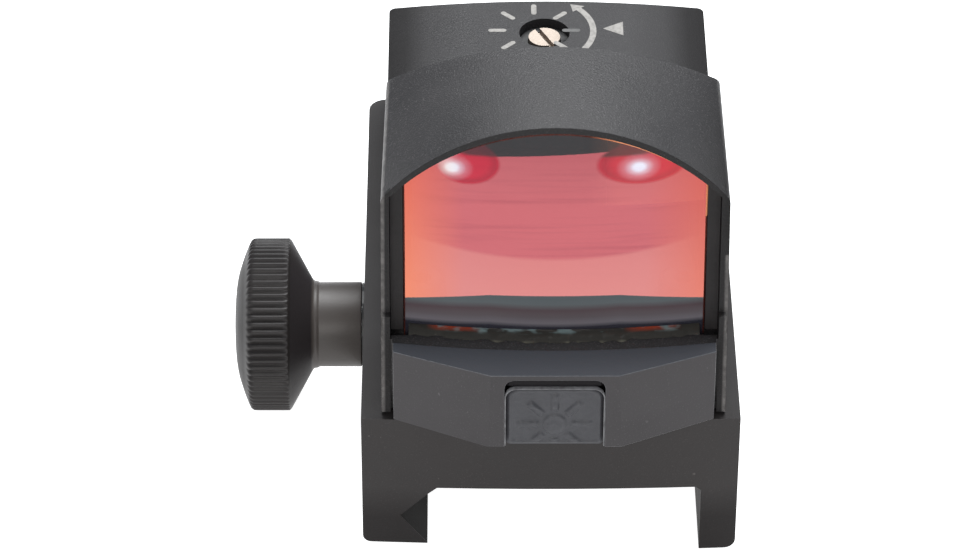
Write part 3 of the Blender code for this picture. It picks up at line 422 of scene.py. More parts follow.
def lens_coating():
    """The red reflecting coat: rose in the middle, orange at the sides, paler low down.

    Painted reflection: the darker upper rose, its darker streaks and the paler band low down.
    At the foot the coat gives way to painted reflections in grey and violet bands, shades from
    (share of the way down, colour). A faint teal glow over the coat is painted light.
    """
    shader = Shader("lens_coating", (0.4, 0.1, 0.1), 0.015, 1.0)
    x, _, z = shader.axes()
    across = shader.off_middle(x)
    reach = shader.over(across, LENS_HIGH.x - BODY_X)
    side = shader.ramp(reach, [(0.60, 0.0), (0.97, 1.0)])
    wave = shader.times(shader.times(across, across), 0.014)
    rise = shader.minus(z, LENS_LOW.z)
    level = shader.over(shader.minus(rise, wave), 20.0)
    # Painted reflection: the paler band low down, and above it the darker upper rose with darker
    # streaks.
    pale = shader.ramp(level, [(0.20, 1.0), (0.345, 0.72), (0.36, 0.0)])
    streaks = shader.ramp(shader.noise(1.0, 2.0, (14, 1, 0.45)), [(0.48, 0.0), (0.75, 0.6)])
    upper = shader.ramp(level, [(0.55, 0.0), (0.8, 1.0)])
    rose = shader.mix(upper, (0.36, 0.070, 0.080), (0.29, 0.058, 0.068))
    rose = shader.mix(streaks, rose, (0.28, 0.046, 0.058))
    tone = shader.mix(pale, rose, (0.43, 0.135, 0.125))
    low = shader.ramp(level, [(0.1, 1.0), (0.7, 0.0)])
    edge = shader.mix(low, (0.44, 0.062, 0.040), (0.52, 0.145, 0.078))
    redder = shader.mix(low, (0.36, 0.040, 0.036), (0.46, 0.115, 0.080))
    edge = shader.mix(shader.above(x, BODY_X), edge, redder)
    coat = shader.mix(side, tone, edge)
    # Painted reflections below the foot line: grey and violet bands in place of the metal coat.
    beyond = shader.most(shader.minus(across, 4.75), 0.0)
    limit = shader.minus(FOOT_REFLECTION_Z, shader.times(beyond, 0.11))
    rounding = shader.times(shader.times(across, across), 0.0022)
    below = shader.over(shader.minus(limit, z), 2.8)
    foot = shader.times(shader.plus(below, 0.015), 40.0)
    foot = shader.ramp(foot, [(0.0, 0.0), (1.0, 1.0)])
    shades = [
        (0.0, (0.080, 0.095, 0.102)),
        (0.26, (0.097, 0.112, 0.118)),
        (0.44, (0.080, 0.059, 0.065)),
        (0.66, (0.105, 0.090, 0.098)),
        (0.84, (0.150, 0.140, 0.155)),
        (0.97, (0.022, 0.024, 0.034)),
    ]
    deep = shader.plus(below, rounding)
    shader.link(shader.mix(foot, coat, shader.ramp(deep, shades)), "Base Color")
    shader.link(shader.minus(1.0, foot), "Metallic")
    # Painted light: a faint teal glow over the coat, none at the foot.
    shader.link(shader.mix(foot, (0.20, 0.90, 1.0), (0, 0, 0)), "Emission Color")
    shader.set("Emission Strength", 0.045)
    shader.set("Specular IOR Level", 0.0)
    shader.set("Alpha", 0.9)
    return shader.material


def glass_rim():
    """The ground edge of the glass: dark on the left of the arch, bright orange on the right, where
    it glows as a painted highlight.
    """
    shader = Shader("glass_edge", (0.75, 0.25, 0.12), 0.15, 0.0, Alpha=0.5)
    x, _, z = shader.axes()
    right = shader.over(shader.minus(x, BODY_X), LENS_HIGH.x - BODY_X)
    share = shader.ramp(right, [(0.22, 0.0), (0.42, 1.0)])
    share = shader.times(share, shader.above(z, 22.0))
    shader.link(shader.mix(share, (0.16, 0.03, 0.018), (1.0, 0.42, 0.22)), "Base Color")
    # Painted highlight: the orange edge glows, only high up on the right.
    shader.link(shader.mix(share, (0.0, 0.0, 0.0), (1.0, 0.30, 0.12)), "Emission Color")
    shader.set("Emission Strength", 0.35)
    return shader.material


def sealant_finish(lens_front):
    """Glossy black sealant with painted reflections: red-brown near the glass, teal glints, a pale
    highlight along its toe.
    """
    shader = Shader("sealant", (0.006, 0.006, 0.005), 0.2)
    centre, radius = lens_front
    glass = sphere_y(centre, radius, centre.x, SEAL_LOW.z)
    x, y, _ = shader.axes()
    across = shader.off_middle(x)
    curve = shader.over(shader.times(across, across), 2 * radius)
    share = shader.over(shader.minus(shader.plus(curve, glass), y), 1.5)
    reach = shader.over(across, 12.0)
    patches = shader.noise(0.9, 2.0, (1.8, 1, 1))
    # Painted reflection: red-brown patches near the glass, towards the sides.
    lens_reflection = shader.ramp(reach, [(0.42, 0.0), (0.52, 1.0), (0.70, 1.0), (0.78, 0.0)])
    lens_reflection = shader.times(lens_reflection, shader.ramp(share, [(0.08, 1.0), (0.34, 0.0)]))
    tone = shader.mix(lens_reflection, (0.036, 0.034, 0.030), (0.28, 0.048, 0.024))
    # Painted glints: teal flecks near the glass.
    glint = shader.ramp(patches, [(0.5, 0.0), (0.62, 1.0)])
    glint = shader.times(glint, shader.ramp(share, [(0.2, 1.0), (0.4, 0.0)]))
    tone = shader.mix(glint, tone, (0.15, 0.20, 0.20))
    # Painted highlight: pale patches along the toe.
    toe = shader.ramp(share, [(0.68, 0.0), (0.84, 1.0)])
    toe = shader.times(toe, shader.ramp(patches, [(0.42, 0.0), (0.62, 0.8)]))
    tone = shader.mix(toe, tone, (0.17, 0.16, 0.125))
    shader.link(tone, "Base Color")
    shader.set("Specular IOR Level", 0.06)
    shader.link(shader.bump(shader.noise(0.4, 2.0), 0.01), "Normal")
    return shader.material


# ---- mesh helpers ----

def add_piece(name, mesh, body, material, smooth=True, angle=30, replaces=None):
    """Put a new piece in the scene, on its body, with its finish."""
    piece = bpy.data.objects.new(name, mesh)
    bpy.context.scene.collection.objects.link(piece)
    mesh.materials.append(material)
    if smooth:
        mesh.shade_smooth()
        mesh.set_sharp_from_angle(angle=math.radians(angle))
    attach(piece, body)
    if replaces:
        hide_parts(replaces)
    return piece


def mesh_mm(name, points, faces):
    """A mesh from points in mm, faces turned outwards."""
    mesh = bpy.data.meshes.new(name)
    mesh.from_pydata([Vector(p) * MM for p in points], [], faces)
    work = bmesh.new()
    work.from_mesh(mesh)
    bmesh.ops.recalc_face_normals(work, faces=work.faces)
    work.to_mesh(mesh)
    work.free()
    return mesh


def ring_faces(rings, count, closed_ends=True):
    """Quads between rings of count points each, with the end rings filled."""
    faces = []
    for k in range(rings - 1):
        a, b = k * count, (k + 1) * count
        faces += [[a + i, a + (i + 1) % count, b + (i + 1) % count, b + i] for i in range(count)]
    if closed_ends:
        faces += [list(range(count)), [(rings - 1) * count + i for i in range(count)]]
    return faces


def bevelled(node, body, material, edge_material, width_mm):
    """The CAD node's own shape with its sharp edges broken, in place of the node."""
    mesh = NODES[node].data.copy()
    mesh.materials.clear()
    work = bmesh.new()
    work.from_mesh(mesh)
    bmesh.ops.remove_doubles(work, verts=work.verts, dist=MERGE * MM)
    bmesh.ops.dissolve_limit(work, angle_limit=FLAT, verts=work.verts, edges=work.edges)
    work.to_mesh(mesh)
    work.free()
    piece = add_piece(node + "_finish", mesh, body, material, replaces=node, angle=SHARP_DEG)
    mesh.materials.append(edge_material)
    modifier = piece.modifiers.new("edges", "BEVEL")
    modifier.width = width_mm * MM
    modifier.segments = 2
    modifier.limit_method = "ANGLE"
    modifier.angle_limit = math.radians(SHARP_DEG)
    modifier.material = 1
    shading = piece.modifiers.new("shading", "WEIGHTED_NORMAL")
    shading.keep_sharp = True


def dress(material, *nodes):
    """Give CAD nodes their finish."""
    for node in nodes:
        NODES[node].data.materials.clear()
        NODES[node].data.materials.append(material)


def sphere_y(centre, radius, x, z):
    """The y of a sphere's near side at x and z."""
    return centre.y - math.sqrt(radius ** 2 - (x - centre.x) ** 2 - (z - centre.z) ** 2)


# ---- fine pieces ----

def rounded_outline(half_w, half_h, top_radius, low_radius, count):
    """Evenly walked points of a rounded rectangle round the origin."""
    corners = []
    for cx, cy, start in ((1, 1, 0), (-1, 1, 90), (-1, -1, 180), (1, -1, 270)):
        radius = top_radius if cy > 0 else low_radius
        for k in range(9):
            turn = math.radians(start + 90 * k / 8)
            corners.append(Vector((
                cx * (half_w - radius) + radius * math.cos(turn),
                cy * (half_h - radius) + radius * math.sin(turn),
            )))
    corners.append(corners[0])
    lengths = [(b - a).length for a, b in zip(corners, corners[1:])]
    total = sum(lengths)
    points = []
    for i in range(count):
        rest = total * i / count
        for a, b, length in zip(corners, corners[1:], lengths):
            if rest <= length:
                points.append(a.lerp(b, rest / length if length else 0))
                break
            rest -= length
    return points


def smooth_step(value, low, high):
    """0 below low, 1 above high and eased between them."""
    share = min(1.0, max(0.0, (value - low) / (high - low)))
    return share * share * (3 - 2 * share)


def sun_relief(x, z):
    """Height in mm of a raised disc with eight rays round it, a plain brightness sign."""
    reach = math.hypot(x, z)
    disc = 1.0 - smooth_step(reach, 0.72, 0.98)
    turn = math.atan2(z, x)
    nearest = round(turn / (math.pi / 4)) * (math.pi / 4)
    aside = abs(reach * math.sin(turn - nearest))
    along = reach * math.cos(turn - nearest)
    ray = 1.0 - smooth_step(aside, 0.14, 0.36)
    ray *= smooth_step(along, 1.1, 1.35) * (1.0 - smooth_step(along, 2.5, 2.85))
    lumps = noise.noise(Vector((x * 0.8, z * 0.8, 2.0)))
    lumps += 0.6 * noise.noise(Vector((x * 2.2, z * 2.2, 5.0)))
    return 0.15 * max(disc, ray) * (1.0 + 0.5 * lumps) + 0.04 * lumps


def make_pad(material):
    """The push pad with a crowned face, soft edges and a raised sign."""
    count, rings = 160, 44
    half_w = (PAD_HIGH.x - PAD_LOW.x) / 2
    half_h = (PAD_HIGH.z - PAD_LOW.z) / 2
    mid_z = (PAD_HIGH.z + PAD_LOW.z) / 2
    face_y = PAD_LOW.y + 0.1
    outline = rounded_outline(half_w, half_h, 0.75, 0.3, count)
    points = []
    for ring in range(1, rings + 1):
        share = ring / rings
        for corner in outline:
            x, up = corner.x * share, corner.y * share
            z = mid_z + up
            roll = 0.28 * smooth_step(share, 0.88, 1.0) ** 2
            roll *= smooth_step(z, PAD_LOW.z - 0.1, PAD_LOW.z + 0.9)
            lean = PAD_LEAN * (z - PAD_LOW.z)
            bead = 0.07 * smooth_step(share, 0.86, 0.91) * (1 - smooth_step(share, 0.93, 0.99))
            hollow = 0.05 * (1 - share ** 2) - bead
            sign = sun_relief(x, z - PAD_SIGN_Z) * (1 - smooth_step(share, 0.8, 0.95))
            y = face_y + lean + roll + hollow - sign
            points.append((BODY_X + x, max(y, PAD_LOW.y), z))
    for inset, depth in ((0.0, 0.3), (0.55, 0.36), (0.55, 1.15)):
        for c in outline:
            x, z = c.x * (1 - inset / half_w), mid_z + c.y * (1 - inset / half_h)
            points.append((BODY_X + x, face_y + depth + PAD_LEAN * (z - PAD_LOW.z), z))
    mesh = mesh_mm("pad_face", points, ring_faces(rings + 3, count))
    slot = "power_button"
    add_piece("pad_face", mesh, "button", material, angle=60, replaces=slot)


def make_pad_surround(material):
    """Two thin raised lips of the cover in the slit beside the pad, which meet above it, painted pale
    as a painted highlight.
    """
    reach = (PAD_HIGH.x - PAD_LOW.x) / 2 + 0.11
    top, radius = PAD_HIGH.z + 0.02, 0.86
    path = [(Vector((reach, PAD_LOW.z - 0.1)), Vector((1, 0)))]
    for degrees in range(0, 91, 10):
        turn = math.radians(degrees)
        out = Vector((math.cos(turn), math.sin(turn)))
        path.append((Vector((reach - radius, top - radius)) + out * radius, out))
    path.append((Vector((0.0, top)), Vector((0, 1))))
    section = [(0.0, 0.32), (0.0, 0.04), (-0.05, 0.0), (-0.1, 0.04), (-0.1, 0.32)]
    for name, side in (("pad_lip_left", -1), ("pad_lip_right", 1)):
        points = []
        for place, out in path:
            for across, depth in section:
                at = place + out * across
                y = PAD_LOW.y - 0.02 + depth + PAD_LEAN * (at.y - PAD_LOW.z)
                points.append((BODY_X + side * at.x, y, at.y))
        mesh = mesh_mm(name, points, ring_faces(len(path), len(section)))
        add_piece(name, mesh, "root", material, angle=60)


def make_pad_slot_shade(material):
    """A dark strip in the slot above the pad, standing in for the shade there, with a slightly uneven
    front.
    """
    low, high = PAD_HIGH.z + 0.13, PAD_HIGH.z + 0.70
    reach, steps, corner = (PAD_HIGH.x - PAD_LOW.x) / 2 - 0.02, 36, 0.72
    points = []
    for i in range(steps + 1):
        x = BODY_X - reach + 2 * reach * i / steps
        face = PAD_LOW.y + 0.55 + 0.03 * noise.noise(Vector((x * 1.7, 4.0, 0.0)))
        into = max(0.0, abs(x - BODY_X) - reach + corner)
        top = high - corner + math.sqrt(corner ** 2 - min(corner, into) ** 2 * 0.98)
        points += [(x, face, low), (x, face + 0.14, top)]
        points += [(x, face + 0.4, top), (x, face + 0.4, low)]
    mesh = mesh_mm("pad_slot_shade", points, ring_faces(steps + 1, 4))
    add_piece("pad_slot_shade", mesh, "root", material)


def knurl(turn, ridges):
    """Depth share of a straight knurl with rounded ridges and narrow valleys."""
    return (0.5 + 0.5 * math.cos(ridges * turn)) ** 1.4


def make_knob(material):
    """The thumb knob: neck, small collar, cone, straight-knurled rim and domed outer face.

    Each list holds (x, radius) stations in mm, from the neck outwards.
    """
    ridges, per_ridge, depth = 72, 8, 0.2
    count = ridges * per_ridge
    inner, outer = KNOB_HIGH.x, KNOB_LOW.x
    rim_r = (KNOB_HIGH.z - KNOB_LOW.z) / 2
    neck_r = 3.3
    neck = [(inner, 2.04), (inner, neck_r - 0.1)]
    neck += [(inner - 0.03, neck_r - 0.03), (inner - 0.1, neck_r)]
    neck += [(-17.6, neck_r), (-17.66, neck_r + 0.01), (-17.72, neck_r + 0.05)]
    neck += [(-17.8, neck_r + 0.09), (-17.9, neck_r + 0.11), (-18.0, neck_r + 0.12)]
    neck += [(-18.1, neck_r + 0.17), (-18.22, neck_r + 0.34)]
    cone = [(-19.78, rim_r - 0.24), (-19.84, rim_r - 0.14), (-19.92, rim_r - 0.06)]
    rim = [(-20.0, rim_r), (-20.3, rim_r), (-21.0, rim_r), (-21.8, rim_r), (-22.5, rim_r)]
    rim += [(-22.75, rim_r - 0.02), (-22.95, rim_r - 0.17), (-23.08, rim_r - 0.42)]
    dome = [(-23.16, rim_r - 0.6), (-23.3, rim_r - 0.95)]
    dome += [(-23.46, 5.35), (-23.6, 4.95), (-23.73, 4.55), (-23.85, 4.15)]
    dome += [(-23.96, 3.65), (-24.05, 3.1), (-24.11, 2.5), (outer, 1.9)]
    dome += [(outer + 0.02, 1.5), (outer + 0.12, 1.2), (outer + 0.14, 0.3)]
    points = []
    whole = neck + cone + rim + dome
    for along, radius in whole:
        fade = 0.0
        if (along, radius) in rim:
            fade = smooth_step(-along, 19.9, 20.1) * (1.0 - smooth_step(-along, 22.85, 23.15))
        for i in range(count):
            turn = 2 * math.pi * i / count
            r = radius - depth * fade * knurl(turn, ridges)
            points.append((along, KNOB_Y + r * math.cos(turn), KNOB_Z + r * math.sin(turn)))
    mesh = mesh_mm("knob_turned", points, ring_faces(len(whole), count))
    slot = "thumb_knob"
    add_piece("knob_turned", mesh, "knob", material, angle=40, replaces=slot)


def make_bolt(material):
    """The cross bolt with its thread at the jaw's end."""
    count, pitch, thread_depth = 48, 0.7, 0.36
    radius = (BOLT_HIGH.z - BOLT_LOW.z) / 2
    root = radius - thread_depth
    thread_start, end = 7.5, BOLT_HIGH.x
    stations = [(BOLT_LOW.x, radius), (thread_start - 0.5, radius)]
    step = pitch / 8
    steps = int((end - thread_start) / step)
    points = []
    for along, r in stations:
        points += [(along, r, i) for i in range(count)]
    for k in range(steps + 1):
        along = thread_start + step * k
        taper = min(1.0, (end - along) / 0.5)
        for i in range(count):
            phase = (along / pitch - i / count) % 1.0
            crest = 1.0 - abs(2 * phase - 1)
            r = root + (radius - root) * min(1.0, crest * 1.35) * smooth_step(taper, -0.3, 1.0)
            points.append((along, r, i))
    placed = []
    for along, r, i in points:
        turn = 2 * math.pi * i / count
        placed.append((along, KNOB_Y + r * math.cos(turn), KNOB_Z + r * math.sin(turn)))
    mesh = mesh_mm("bolt_threaded", placed, ring_faces(len(points) // count, count))
    slot = "cross_bolt"
    add_piece("bolt_threaded", mesh, "knob", material, angle=35, replaces=slot)


def fit_sphere(points):
    """Centre and radius of the sphere nearest to the points."""
    rows = np.array([[2 * p.x, 2 * p.y, 2 * p.z, 1.0] for p in points])
    squares = np.array([p.length_squared for p in points])
    x, y, z, rest = np.linalg.lstsq(rows, squares, rcond=None)[0]
    return Vector((x, y, z)), math.sqrt(rest + x * x + y * y + z * z)


def walk_loop(edges):
    """The vertices of a closed chain of edges, in order."""
    start = edges[0].verts[0]
    chain, here, last = [start], edges[0].verts[1], edges[0]
    allowed = set(edges)
    while here is not start:
        chain.append(here)
        last = next(e for e in here.link_edges if e in allowed and e is not last)
        here = last.other_vert(here)
    return [v.co.copy() / MM for v in chain]


def lens_faces():
    """The lens's front and back, read from the CAD mesh: (sphere centre, radius, edge loop)."""
    work = bmesh.new()
    work.from_mesh(NODES["lens"].data)
    bmesh.ops.remove_doubles(work, verts=work.verts, dist=MERGE * MM)
    work.normal_update()
    sides = []
    for sign in (-1, 1):
        chosen = {f for f in work.faces if f.normal.y * sign > 0.7}
        points = [v.co / MM for v in {v for f in chosen for v in f.verts}]
        edge = [e for e in work.edges if sum(f in chosen for f in e.link_faces) == 1]
        centre, radius = fit_sphere(points)
        sides.append((centre, radius, walk_loop(edge)))
    work.free()
    return sides


def lens_dish(centre, radius, edge):
    """Points and faces of one spherical face of the lens, drawn in from its edge by the chamfer."""
    rings, chamfer = 30, 0.12
    middle = Vector((BODY_X, 0, (LENS_LOW.z + LENS_HIGH.z) / 2))
    points = []
    for ring in range(1, rings + 1):
        for p in edge:
            inward = Vector((p.x - middle.x, 0, p.z - middle.z))
            share = ring / rings * (inward.length - chamfer) / inward.length
            x, z = middle.x + inward.x * share, middle.z + inward.z * share
            points.append((x, sphere_y(centre, radius, x, z), z))
    return points, ring_faces(rings, len(edge), False) + [list(range(len(edge)))]


def make_lens(material, glass_edge):
    """The lens with true spherical faces and a narrow ground chamfer round its front edge.

    Gives the front face's sphere centre and radius.
    """
    sides = []
    for centre, radius, loop in lens_faces():
        edge = []
        for a, b in zip(loop, loop[1:] + loop[:1]):
            pieces = max(1, round((b - a).length / 0.5))
            edge += [a.lerp(b, k / pieces) for k in range(pieces)]
        sides.append((centre, radius, edge))
    front, rear = sides
    front_points, front_faces = lens_dish(*front)
    count = len(front[2])
    shell = front_points[-count:] + [tuple(p + Vector((0, 0.1, 0))) for p in front[2]]
    for p in front[2]:
        nearest = min(rear[2], key=lambda q: (q.x - p.x) ** 2 + (q.z - p.z) ** 2)
        shell.append(tuple(nearest))
    rim = mesh_mm("lens_rim", shell, ring_faces(3, count, False))
    add_piece("lens_rim", rim, "root", glass_edge)
    mesh = mesh_mm("lens_front", front_points, front_faces)
    piece = add_piece("lens_front", mesh, "root", material, angle=80, replaces="lens")
    piece.visible_diffuse = False
    piece.visible_glossy = False
    mesh = mesh_mm("lens_rear", *lens_dish(*rear))
    add_piece("lens_rear", mesh, "root", glass_edge, angle=80)
    return front[:2]


def make_sealant(lens_front, material):
    """The irregular black bead along the lens's foot."""
    centre, radius = lens_front
    steps, across = 260, 12
    base_z = SEAL_LOW.z
    crest = SEAL_HIGH.z - base_z
    half = (SEAL_HIGH.x - SEAL_LOW.x) / 2
    points = []
    for i in range(steps + 1):
        x = BODY_X - half + 2 * half * i / steps
        glass = sphere_y(centre, radius, x, base_z + 0.2) - 0.03
        lumps = noise.noise(Vector((x * 0.9, 3.1, 0.0)))
        lumps += 0.5 * noise.noise(Vector((x * 2.3, 7.7, 0.0)))
        toe = glass - 1.15 - 0.28 * lumps + 0.3 * abs(x - BODY_X) / half
        for k in range(across + 1):
            share = k / across
            y = toe + (glass - toe) * share
            rise = math.sin(math.pi / 2 * share) ** 0.7
            swell = math.sin(math.pi * share)
            ripple = noise.noise(Vector((x * 1.1, y * 1.6, 1.3))) * 0.05 * swell
            ripple += noise.noise(Vector((x * 3.5, y * 4.0, 5.3))) * 0.012 * swell
            points.append((x, y, base_z + max(0.0, min(crest, crest * rise * 0.9 + ripple))))
        points.append((x, glass, base_z))
        points.append((x, toe, base_z))
    mesh = mesh_mm("sealant_bead", points, ring_faces(steps + 1, across + 3))
    merge_slivers(mesh)
    slot = "foot_sealant"
    add_piece("sealant_bead", mesh, "root", material, angle=70, replaces=slot)


def merge_slivers(mesh):
    """Merge points that fall together, so that no sliver faces are left."""
    work = bmesh.new()
    work.from_mesh(mesh)
    bmesh.ops.remove_doubles(work, verts=work.verts, dist=0.003 * MM)
    bmesh.ops.dissolve_degenerate(work, edges=work.edges, dist=MERGE * MM)
    bmesh.ops.recalc_face_normals(work, faces=work.faces)
    work.to_mesh(mesh)
    work.free()


# ---- printed marks on the deck ----

def printed_shape(name, outline, material):
    """A flat printed mark: an outline in deck x and y, mm, a few hundredths thick."""
    count = len(outline)
    low, high = DECK_Z - 0.01, DECK_Z + 0.012
    points = [(x, y, low) for x, y in outline] + [(x, y, high) for x, y in outline]
    mesh = mesh_mm(name, points, ring_faces(2, count))
    add_piece(name, mesh, "root", material, smooth=False)


def bar_outline(centre, turn_deg, inner, outer, width):
    """A straight mark along a ray, with round ends."""
    turn = math.radians(turn_deg)
    half = width / 2
    points = []
    for along, start in ((outer - half, -90), (inner + half, 90)):
        for k in range(7):
            a = math.radians(start + 30 * k)
            u, v = along + half * math.cos(a), half * math.sin(a)
            points.append((
                centre[0] + u * math.cos(turn) - v * math.sin(turn),
                centre[1] + u * math.sin(turn) + v * math.cos(turn),
            ))
    return points


def curved_arrow_outline(centre, radius, width, start_deg, end_deg, head):
    """An arc with an arrow head past its end, turning anticlockwise."""
    steps = 18
    outer, inner = [], []
    for k in range(steps + 1):
        a = math.radians(start_deg + (end_deg - start_deg) * k / steps)
        for points, r in ((outer, radius + width / 2), (inner, radius - width / 2)):
            points.append((centre[0] + r * math.cos(a), centre[1] + r * math.sin(a)))
    a = math.radians(end_deg)
    wings = []
    for r in (radius + head, radius - head):
        wings.append((centre[0] + r * math.cos(a), centre[1] + r * math.sin(a)))
    tip_turn = math.radians(end_deg) + 1.5 * head / radius
    tip = (centre[0] + radius * math.cos(tip_turn), centre[1] + radius * math.sin(tip_turn))
    return outer + [wings[0], tip, wings[1]] + inner[::-1]


def make_deck_marks():
    """Ticks round the elevation screw, the arrow that says which way it turns, and a pointer."""
    paint = printed("print_paint", (0.30, 0.285, 0.265))
    faint = printed("print_paint_faint", (0.10, 0.098, 0.095))
    centre = (SCREW_X - 0.80, SCREW_Y + 0.35)
    for number, turn in enumerate((0, 45, 90, 135, 180, 225, 315)):
        ink = faint if turn == 0 else paint
        printed_shape(f"deck_tick_{number}", bar_outline(centre, turn, 2.2, 3.65, 0.42), ink)
    arrow = curved_arrow_outline(centre, 4.68, 0.5, -42, 40, 0.62)
    printed_shape("deck_arrow", arrow, paint)
    x, y = centre[0] + 6.3, centre[1] + 0.25
    pointer = [(x - 0.85, y), (x + 0.75, y - 0.95), (x + 0.75, y + 0.95)]
    printed_shape("deck_pointer", pointer, paint)


# ---- studio ----

def make_floor():
    """A pale floor just under the finder, bright enough to read as white."""
    mesh = bpy.data.meshes.new("floor")
    reach = 1500
    corners = [(-reach, -reach), (reach, -reach), (reach, reach), (-reach, reach)]
    mesh.from_pydata([Vector((x, y, FLOOR_Z - 0.02)) * MM for x, y in corners], [], [[0, 1, 2, 3]])
    floor = bpy.data.objects.new("floor", mesh)
    bpy.context.scene.collection.objects.link(floor)
    shader = Shader("floor", (0.55, 0.55, 0.55), 0.9)
    shader.set("Emission Color", (1, 1, 1, 1))
    shader.set("Emission Strength", 0.93)
    mesh.materials.append(shader.material)


def add_area(name, place, target, size, power, colour):
    """A soft box at place, in mm, turned to target; power is in watts."""
    data = bpy.data.lights.new(name, "AREA")
    data.shape = "RECTANGLE"
    data.size, data.size_y = (side * MM for side in size)
    data.energy = power
    data.color = colour
    light = bpy.data.objects.new(name, data)
    light.location = Vector(place) * MM
    light.rotation_euler = (Vector(target) - Vector(place)).to_track_quat("-Z", "Y").to_euler()
    light.visible_camera = False
    bpy.context.scene.collection.objects.link(light)


def reflector(name, centre, half_w, half_h, colour, slant=0.0, hot=None):
    """A card in front of the finder that only its shiny lens sees.

    A card with hot = (place across, place up, strength, squeeze) is a round lamp: a bright core
    at that place, a soft glow round it and a rim of the given colour that fades out. Its top is
    in shade.
    """
    outline = [(-1, -1), (1, -1 + slant), (1, 1), (-1, 1)]
    points = [(centre[0] + half_w * a, centre[1], centre[2] + half_h * b) for a, b in outline]
    card = bpy.data.objects.new(name, mesh_mm(name, points, [[0, 1, 2, 3]]))
    bpy.context.scene.collection.objects.link(card)
    shader = Shader(name, (0, 0, 0), 1.0, Emission_Strength=1.0, Specular_IOR_Level=0.0)
    shader.set("Emission Color", (*colour, 1.0))
    if hot:
        x, _, z = shader.axes()
        across = shader.over(shader.minus(x, centre[0]), half_w)
        up = shader.over(shader.minus(z, centre[2]), half_h)

        def reach(at_across, at_up, squeeze=1.0):
            a, b = shader.minus(across, at_across), shader.minus(up, at_up)
            a = shader.times(a, squeeze)
            squares = shader.plus(shader.times(a, a), shader.times(b, b))
            return shader.math("SQRT", squares)

        place_across, place_up, strength, squeeze = hot
        shades = [(0.0, scaled(colour, 1.35)), (0.62, scaled(colour, 1.3))]
        shades += [(0.82, colour), (0.9, scaled(colour, 1.15))]
        middle = shader.ramp(reach(0, 0), shades)
        shaded = shader.ramp(up, [(0.3, 0.0), (0.42, 0.85)])
        middle = shader.mix(shaded, middle, (0.012, 0.02, 0.018))
        core = [(0.0, 1.0), (0.15, 0.96), (0.26, 0.5), (0.42, 0.16), (0.65, 0.0)]
        glow = shader.ramp(reach(place_across, place_up, squeeze), core)
        shader.link(shader.mix(glow, middle, (0.19, 1.0, 1.0)), "Emission Color")
        shader.set("Emission Strength", strength)
        shader.link(shader.ramp(reach(0, 0), [(0.9, 1.0), (1.0, 0.0)]), "Alpha")
    card.data.materials.append(shader.material)
    card.visible_camera = False
    card.visible_diffuse = False
    card.visible_shadow = False


def make_studio():
    """Two soft boxes, a pale sky and floor, and the three cards that only the lens shows."""
    bpy.context.scene.view_settings.view_transform = "Standard"
    world = bpy.data.worlds.new("studio")
    bpy.context.scene.world = world
    world.use_nodes = True
    background = world.node_tree.nodes["Background"]
    background.inputs["Color"].default_value = (0.82, 0.90, 1.0, 1.0)
    background.inputs["Strength"].default_value = 0.46
    middle = (0, 10, 10)
    add_area("overhead", (40, 210, 440), middle, (340, 300), 3.9, (0.98, 0.99, 1.0))
    add_area("front_fill", (-60, -480, 260), middle, (300, 260), 1.5, (1.0, 0.97, 0.94))
    make_floor()
    reflector("far_card", (6, -250, 30.2), 52, 30, (0.17, 0.34, 0.28), slant=0.15)
    crimson = (0.098, 0.009, 0.028)
    reflector("lamp_left", (-30.4, -152, 7.9), 13.2, 9.4, crimson, hot=(-0.43, -0.25, 15.0, 1.0))
    reflector("lamp_right", (36.7, -152, 7.7), 18.8, 9.4, crimson, hot=(-0.10, -0.19, 15.0, 1.35))


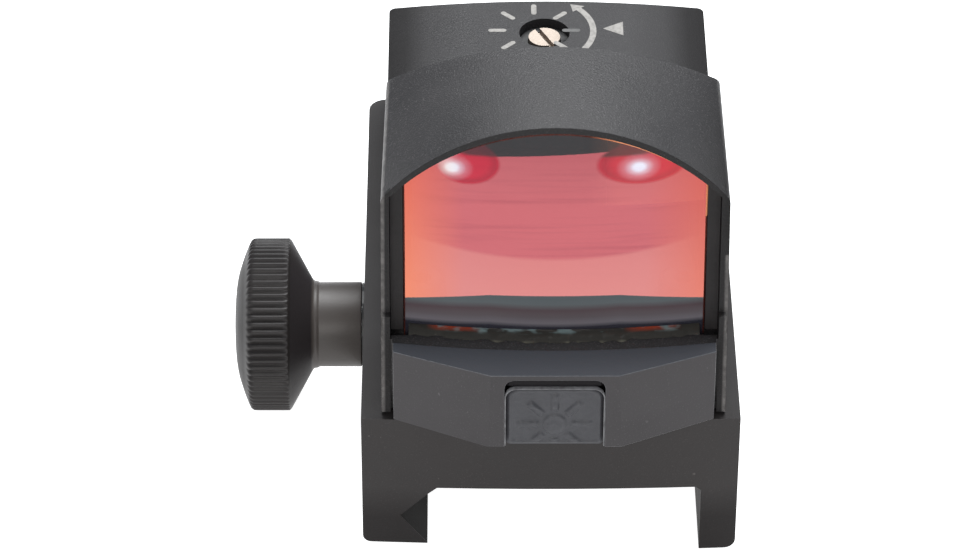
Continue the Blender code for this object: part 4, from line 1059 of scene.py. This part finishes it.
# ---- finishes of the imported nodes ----

def dress_nodes():
    """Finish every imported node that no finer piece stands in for."""
    # Pale edge colours for the bevels: wear and a painted edge highlight together.
    base_edge_wear_and_highlight = (0.055, 0.053, 0.05)
    base = anodised("base_finish", BASE_COLOUR, 0.18, 0.010, 0.52, 1.5, 1.6, zone=base_zones)
    body = anodised("body_finish", BODY_COLOUR, 0.14, 0.038, 0.46, 3.8, 1.2, 0.27, body_zones)
    panel = anodised("panel_finish", PANEL_COLOUR, 0.16, 0.010, 0.5, 1.4, 1.0, zone=bay_top_skylight)
    jaw = anodised("jaw_finish", BASE_COLOUR, 0.18, 0.010, 0.52, 1.5, 1.6)
    base_edge = edge_wear_and_highlight("base_edge", BASE_COLOUR, base_edge_wear_and_highlight)
    jaw_edge = edge_wear_and_highlight("jaw_edge", BASE_COLOUR, base_edge_wear_and_highlight)
    # Painted highlight: the housing's bevels are near white, only on its left edges.
    left_of = BEZEL_LOW.x - 0.3
    body_edge = edge_wear_and_highlight("body_edge", BODY_COLOUR, (0.66, 0.63, 0.60), only_left_of=left_of)
    # Painted highlight along the front cover's bevels.
    panel_edge = edge_wear_and_highlight("panel_edge", PANEL_COLOUR, (0.12, 0.12, 0.125))
    bevelled("mount_base", "root", base, base_edge, 0.14)
    bevelled("clamp_jaw", "jaw", jaw, jaw_edge, 0.14)
    bevelled("housing", "root", body, body_edge, 0.14)
    bevelled("front_bezel", "root", panel, panel_edge, 0.12)
    steel = machined("steel", (0.52, 0.52, 0.53), 0.3)
    dress(steel, "jaw_guide_pin_front", "jaw_guide_pin_rear", "windage_slide", "adjuster_plate")
    dress(steel, "battery", "elevation_spring", "windage_spring")
    dress(steel, *(f"locating_pin_{number}" for number in range(1, 5)))
    brass = machined("brass_screw", (0.42, 0.36, 0.31), 0.55)
    dress(brass, "elevation_screw", "windage_screw", "elevation_nut")
    contact = machined("contact_brass", (0.8, 0.62, 0.36), 0.3)
    dress(contact, "battery_contact_top", "battery_contact_side")
    black_steel = machined("black_steel", (0.06, 0.06, 0.06), 0.35)
    dress(black_steel, "body_screw_left", "body_screw_right")
    rubber = moulded("black_rubber", (0.02, 0.02, 0.02), 0.6)
    dress(rubber, "elevation_o_ring", "windage_o_ring", "base_gasket")
    washer = anodised("washer_finish", (0.03, 0.03, 0.03), 0.15, 0.01, 0.35, 1.3)
    dress(washer, "thrust_washer")
    cement = moulded("cement", (0.016, 0.014, 0.014), 0.5, 0.4, 0.02, Specular_IOR_Level=0.15)
    dress(cement, "lens_cement")
    dress(moulded("switch_plastic", (0.03, 0.03, 0.03), 0.5), "tact_switch")
    dress(moulded("plunger_plastic", (0.5, 0.48, 0.4), 0.5), "switch_plunger")
    dress(moulded("holder_plastic", (0.02, 0.02, 0.02), 0.5), "emitter_holder")
    dress(moulded("emitter_epoxy", (0.7, 0.1, 0.06), 0.15), "led_emitter")
    dress(moulded("board", (0.02, 0.14, 0.06), 0.35), "circuit_board")
    window = Shader("window_glass", (0.9, 0.95, 0.95), 0.03, Alpha=0.25)
    dress(window.material, "emitter_window")


make_camera()
make_studio()
dress_nodes()
make_knob(anodised("knob_finish", KNOB_COLOUR, 0.15, 0.008, 0.42, 1.3, sheen=0.2, zone=knob_zones))
make_bolt(machined("bolt_steel", (0.42, 0.42, 0.43), 0.32))
make_pad(moulded("pad_rubber", (0.036, 0.036, 0.040), 0.5, 0.3, 0.03, Specular_IOR_Level=0.3))
# Painted shade: a dark sheet in the slot above the pad.
make_pad_slot_shade(moulded("pad_slot_shade", (0.009, 0.008, 0.009), 0.6, Specular_IOR_Level=0.1))
# Painted highlight: the lips beside and above the pad are pale.
make_pad_surround(edge_wear_and_highlight("pad_lip", (0.07, 0.067, 0.07), (0.19, 0.19, 0.195), 0.6))
front = make_lens(lens_coating(), glass_rim())
make_sealant(front, sealant_finish(front))
make_deck_marks()
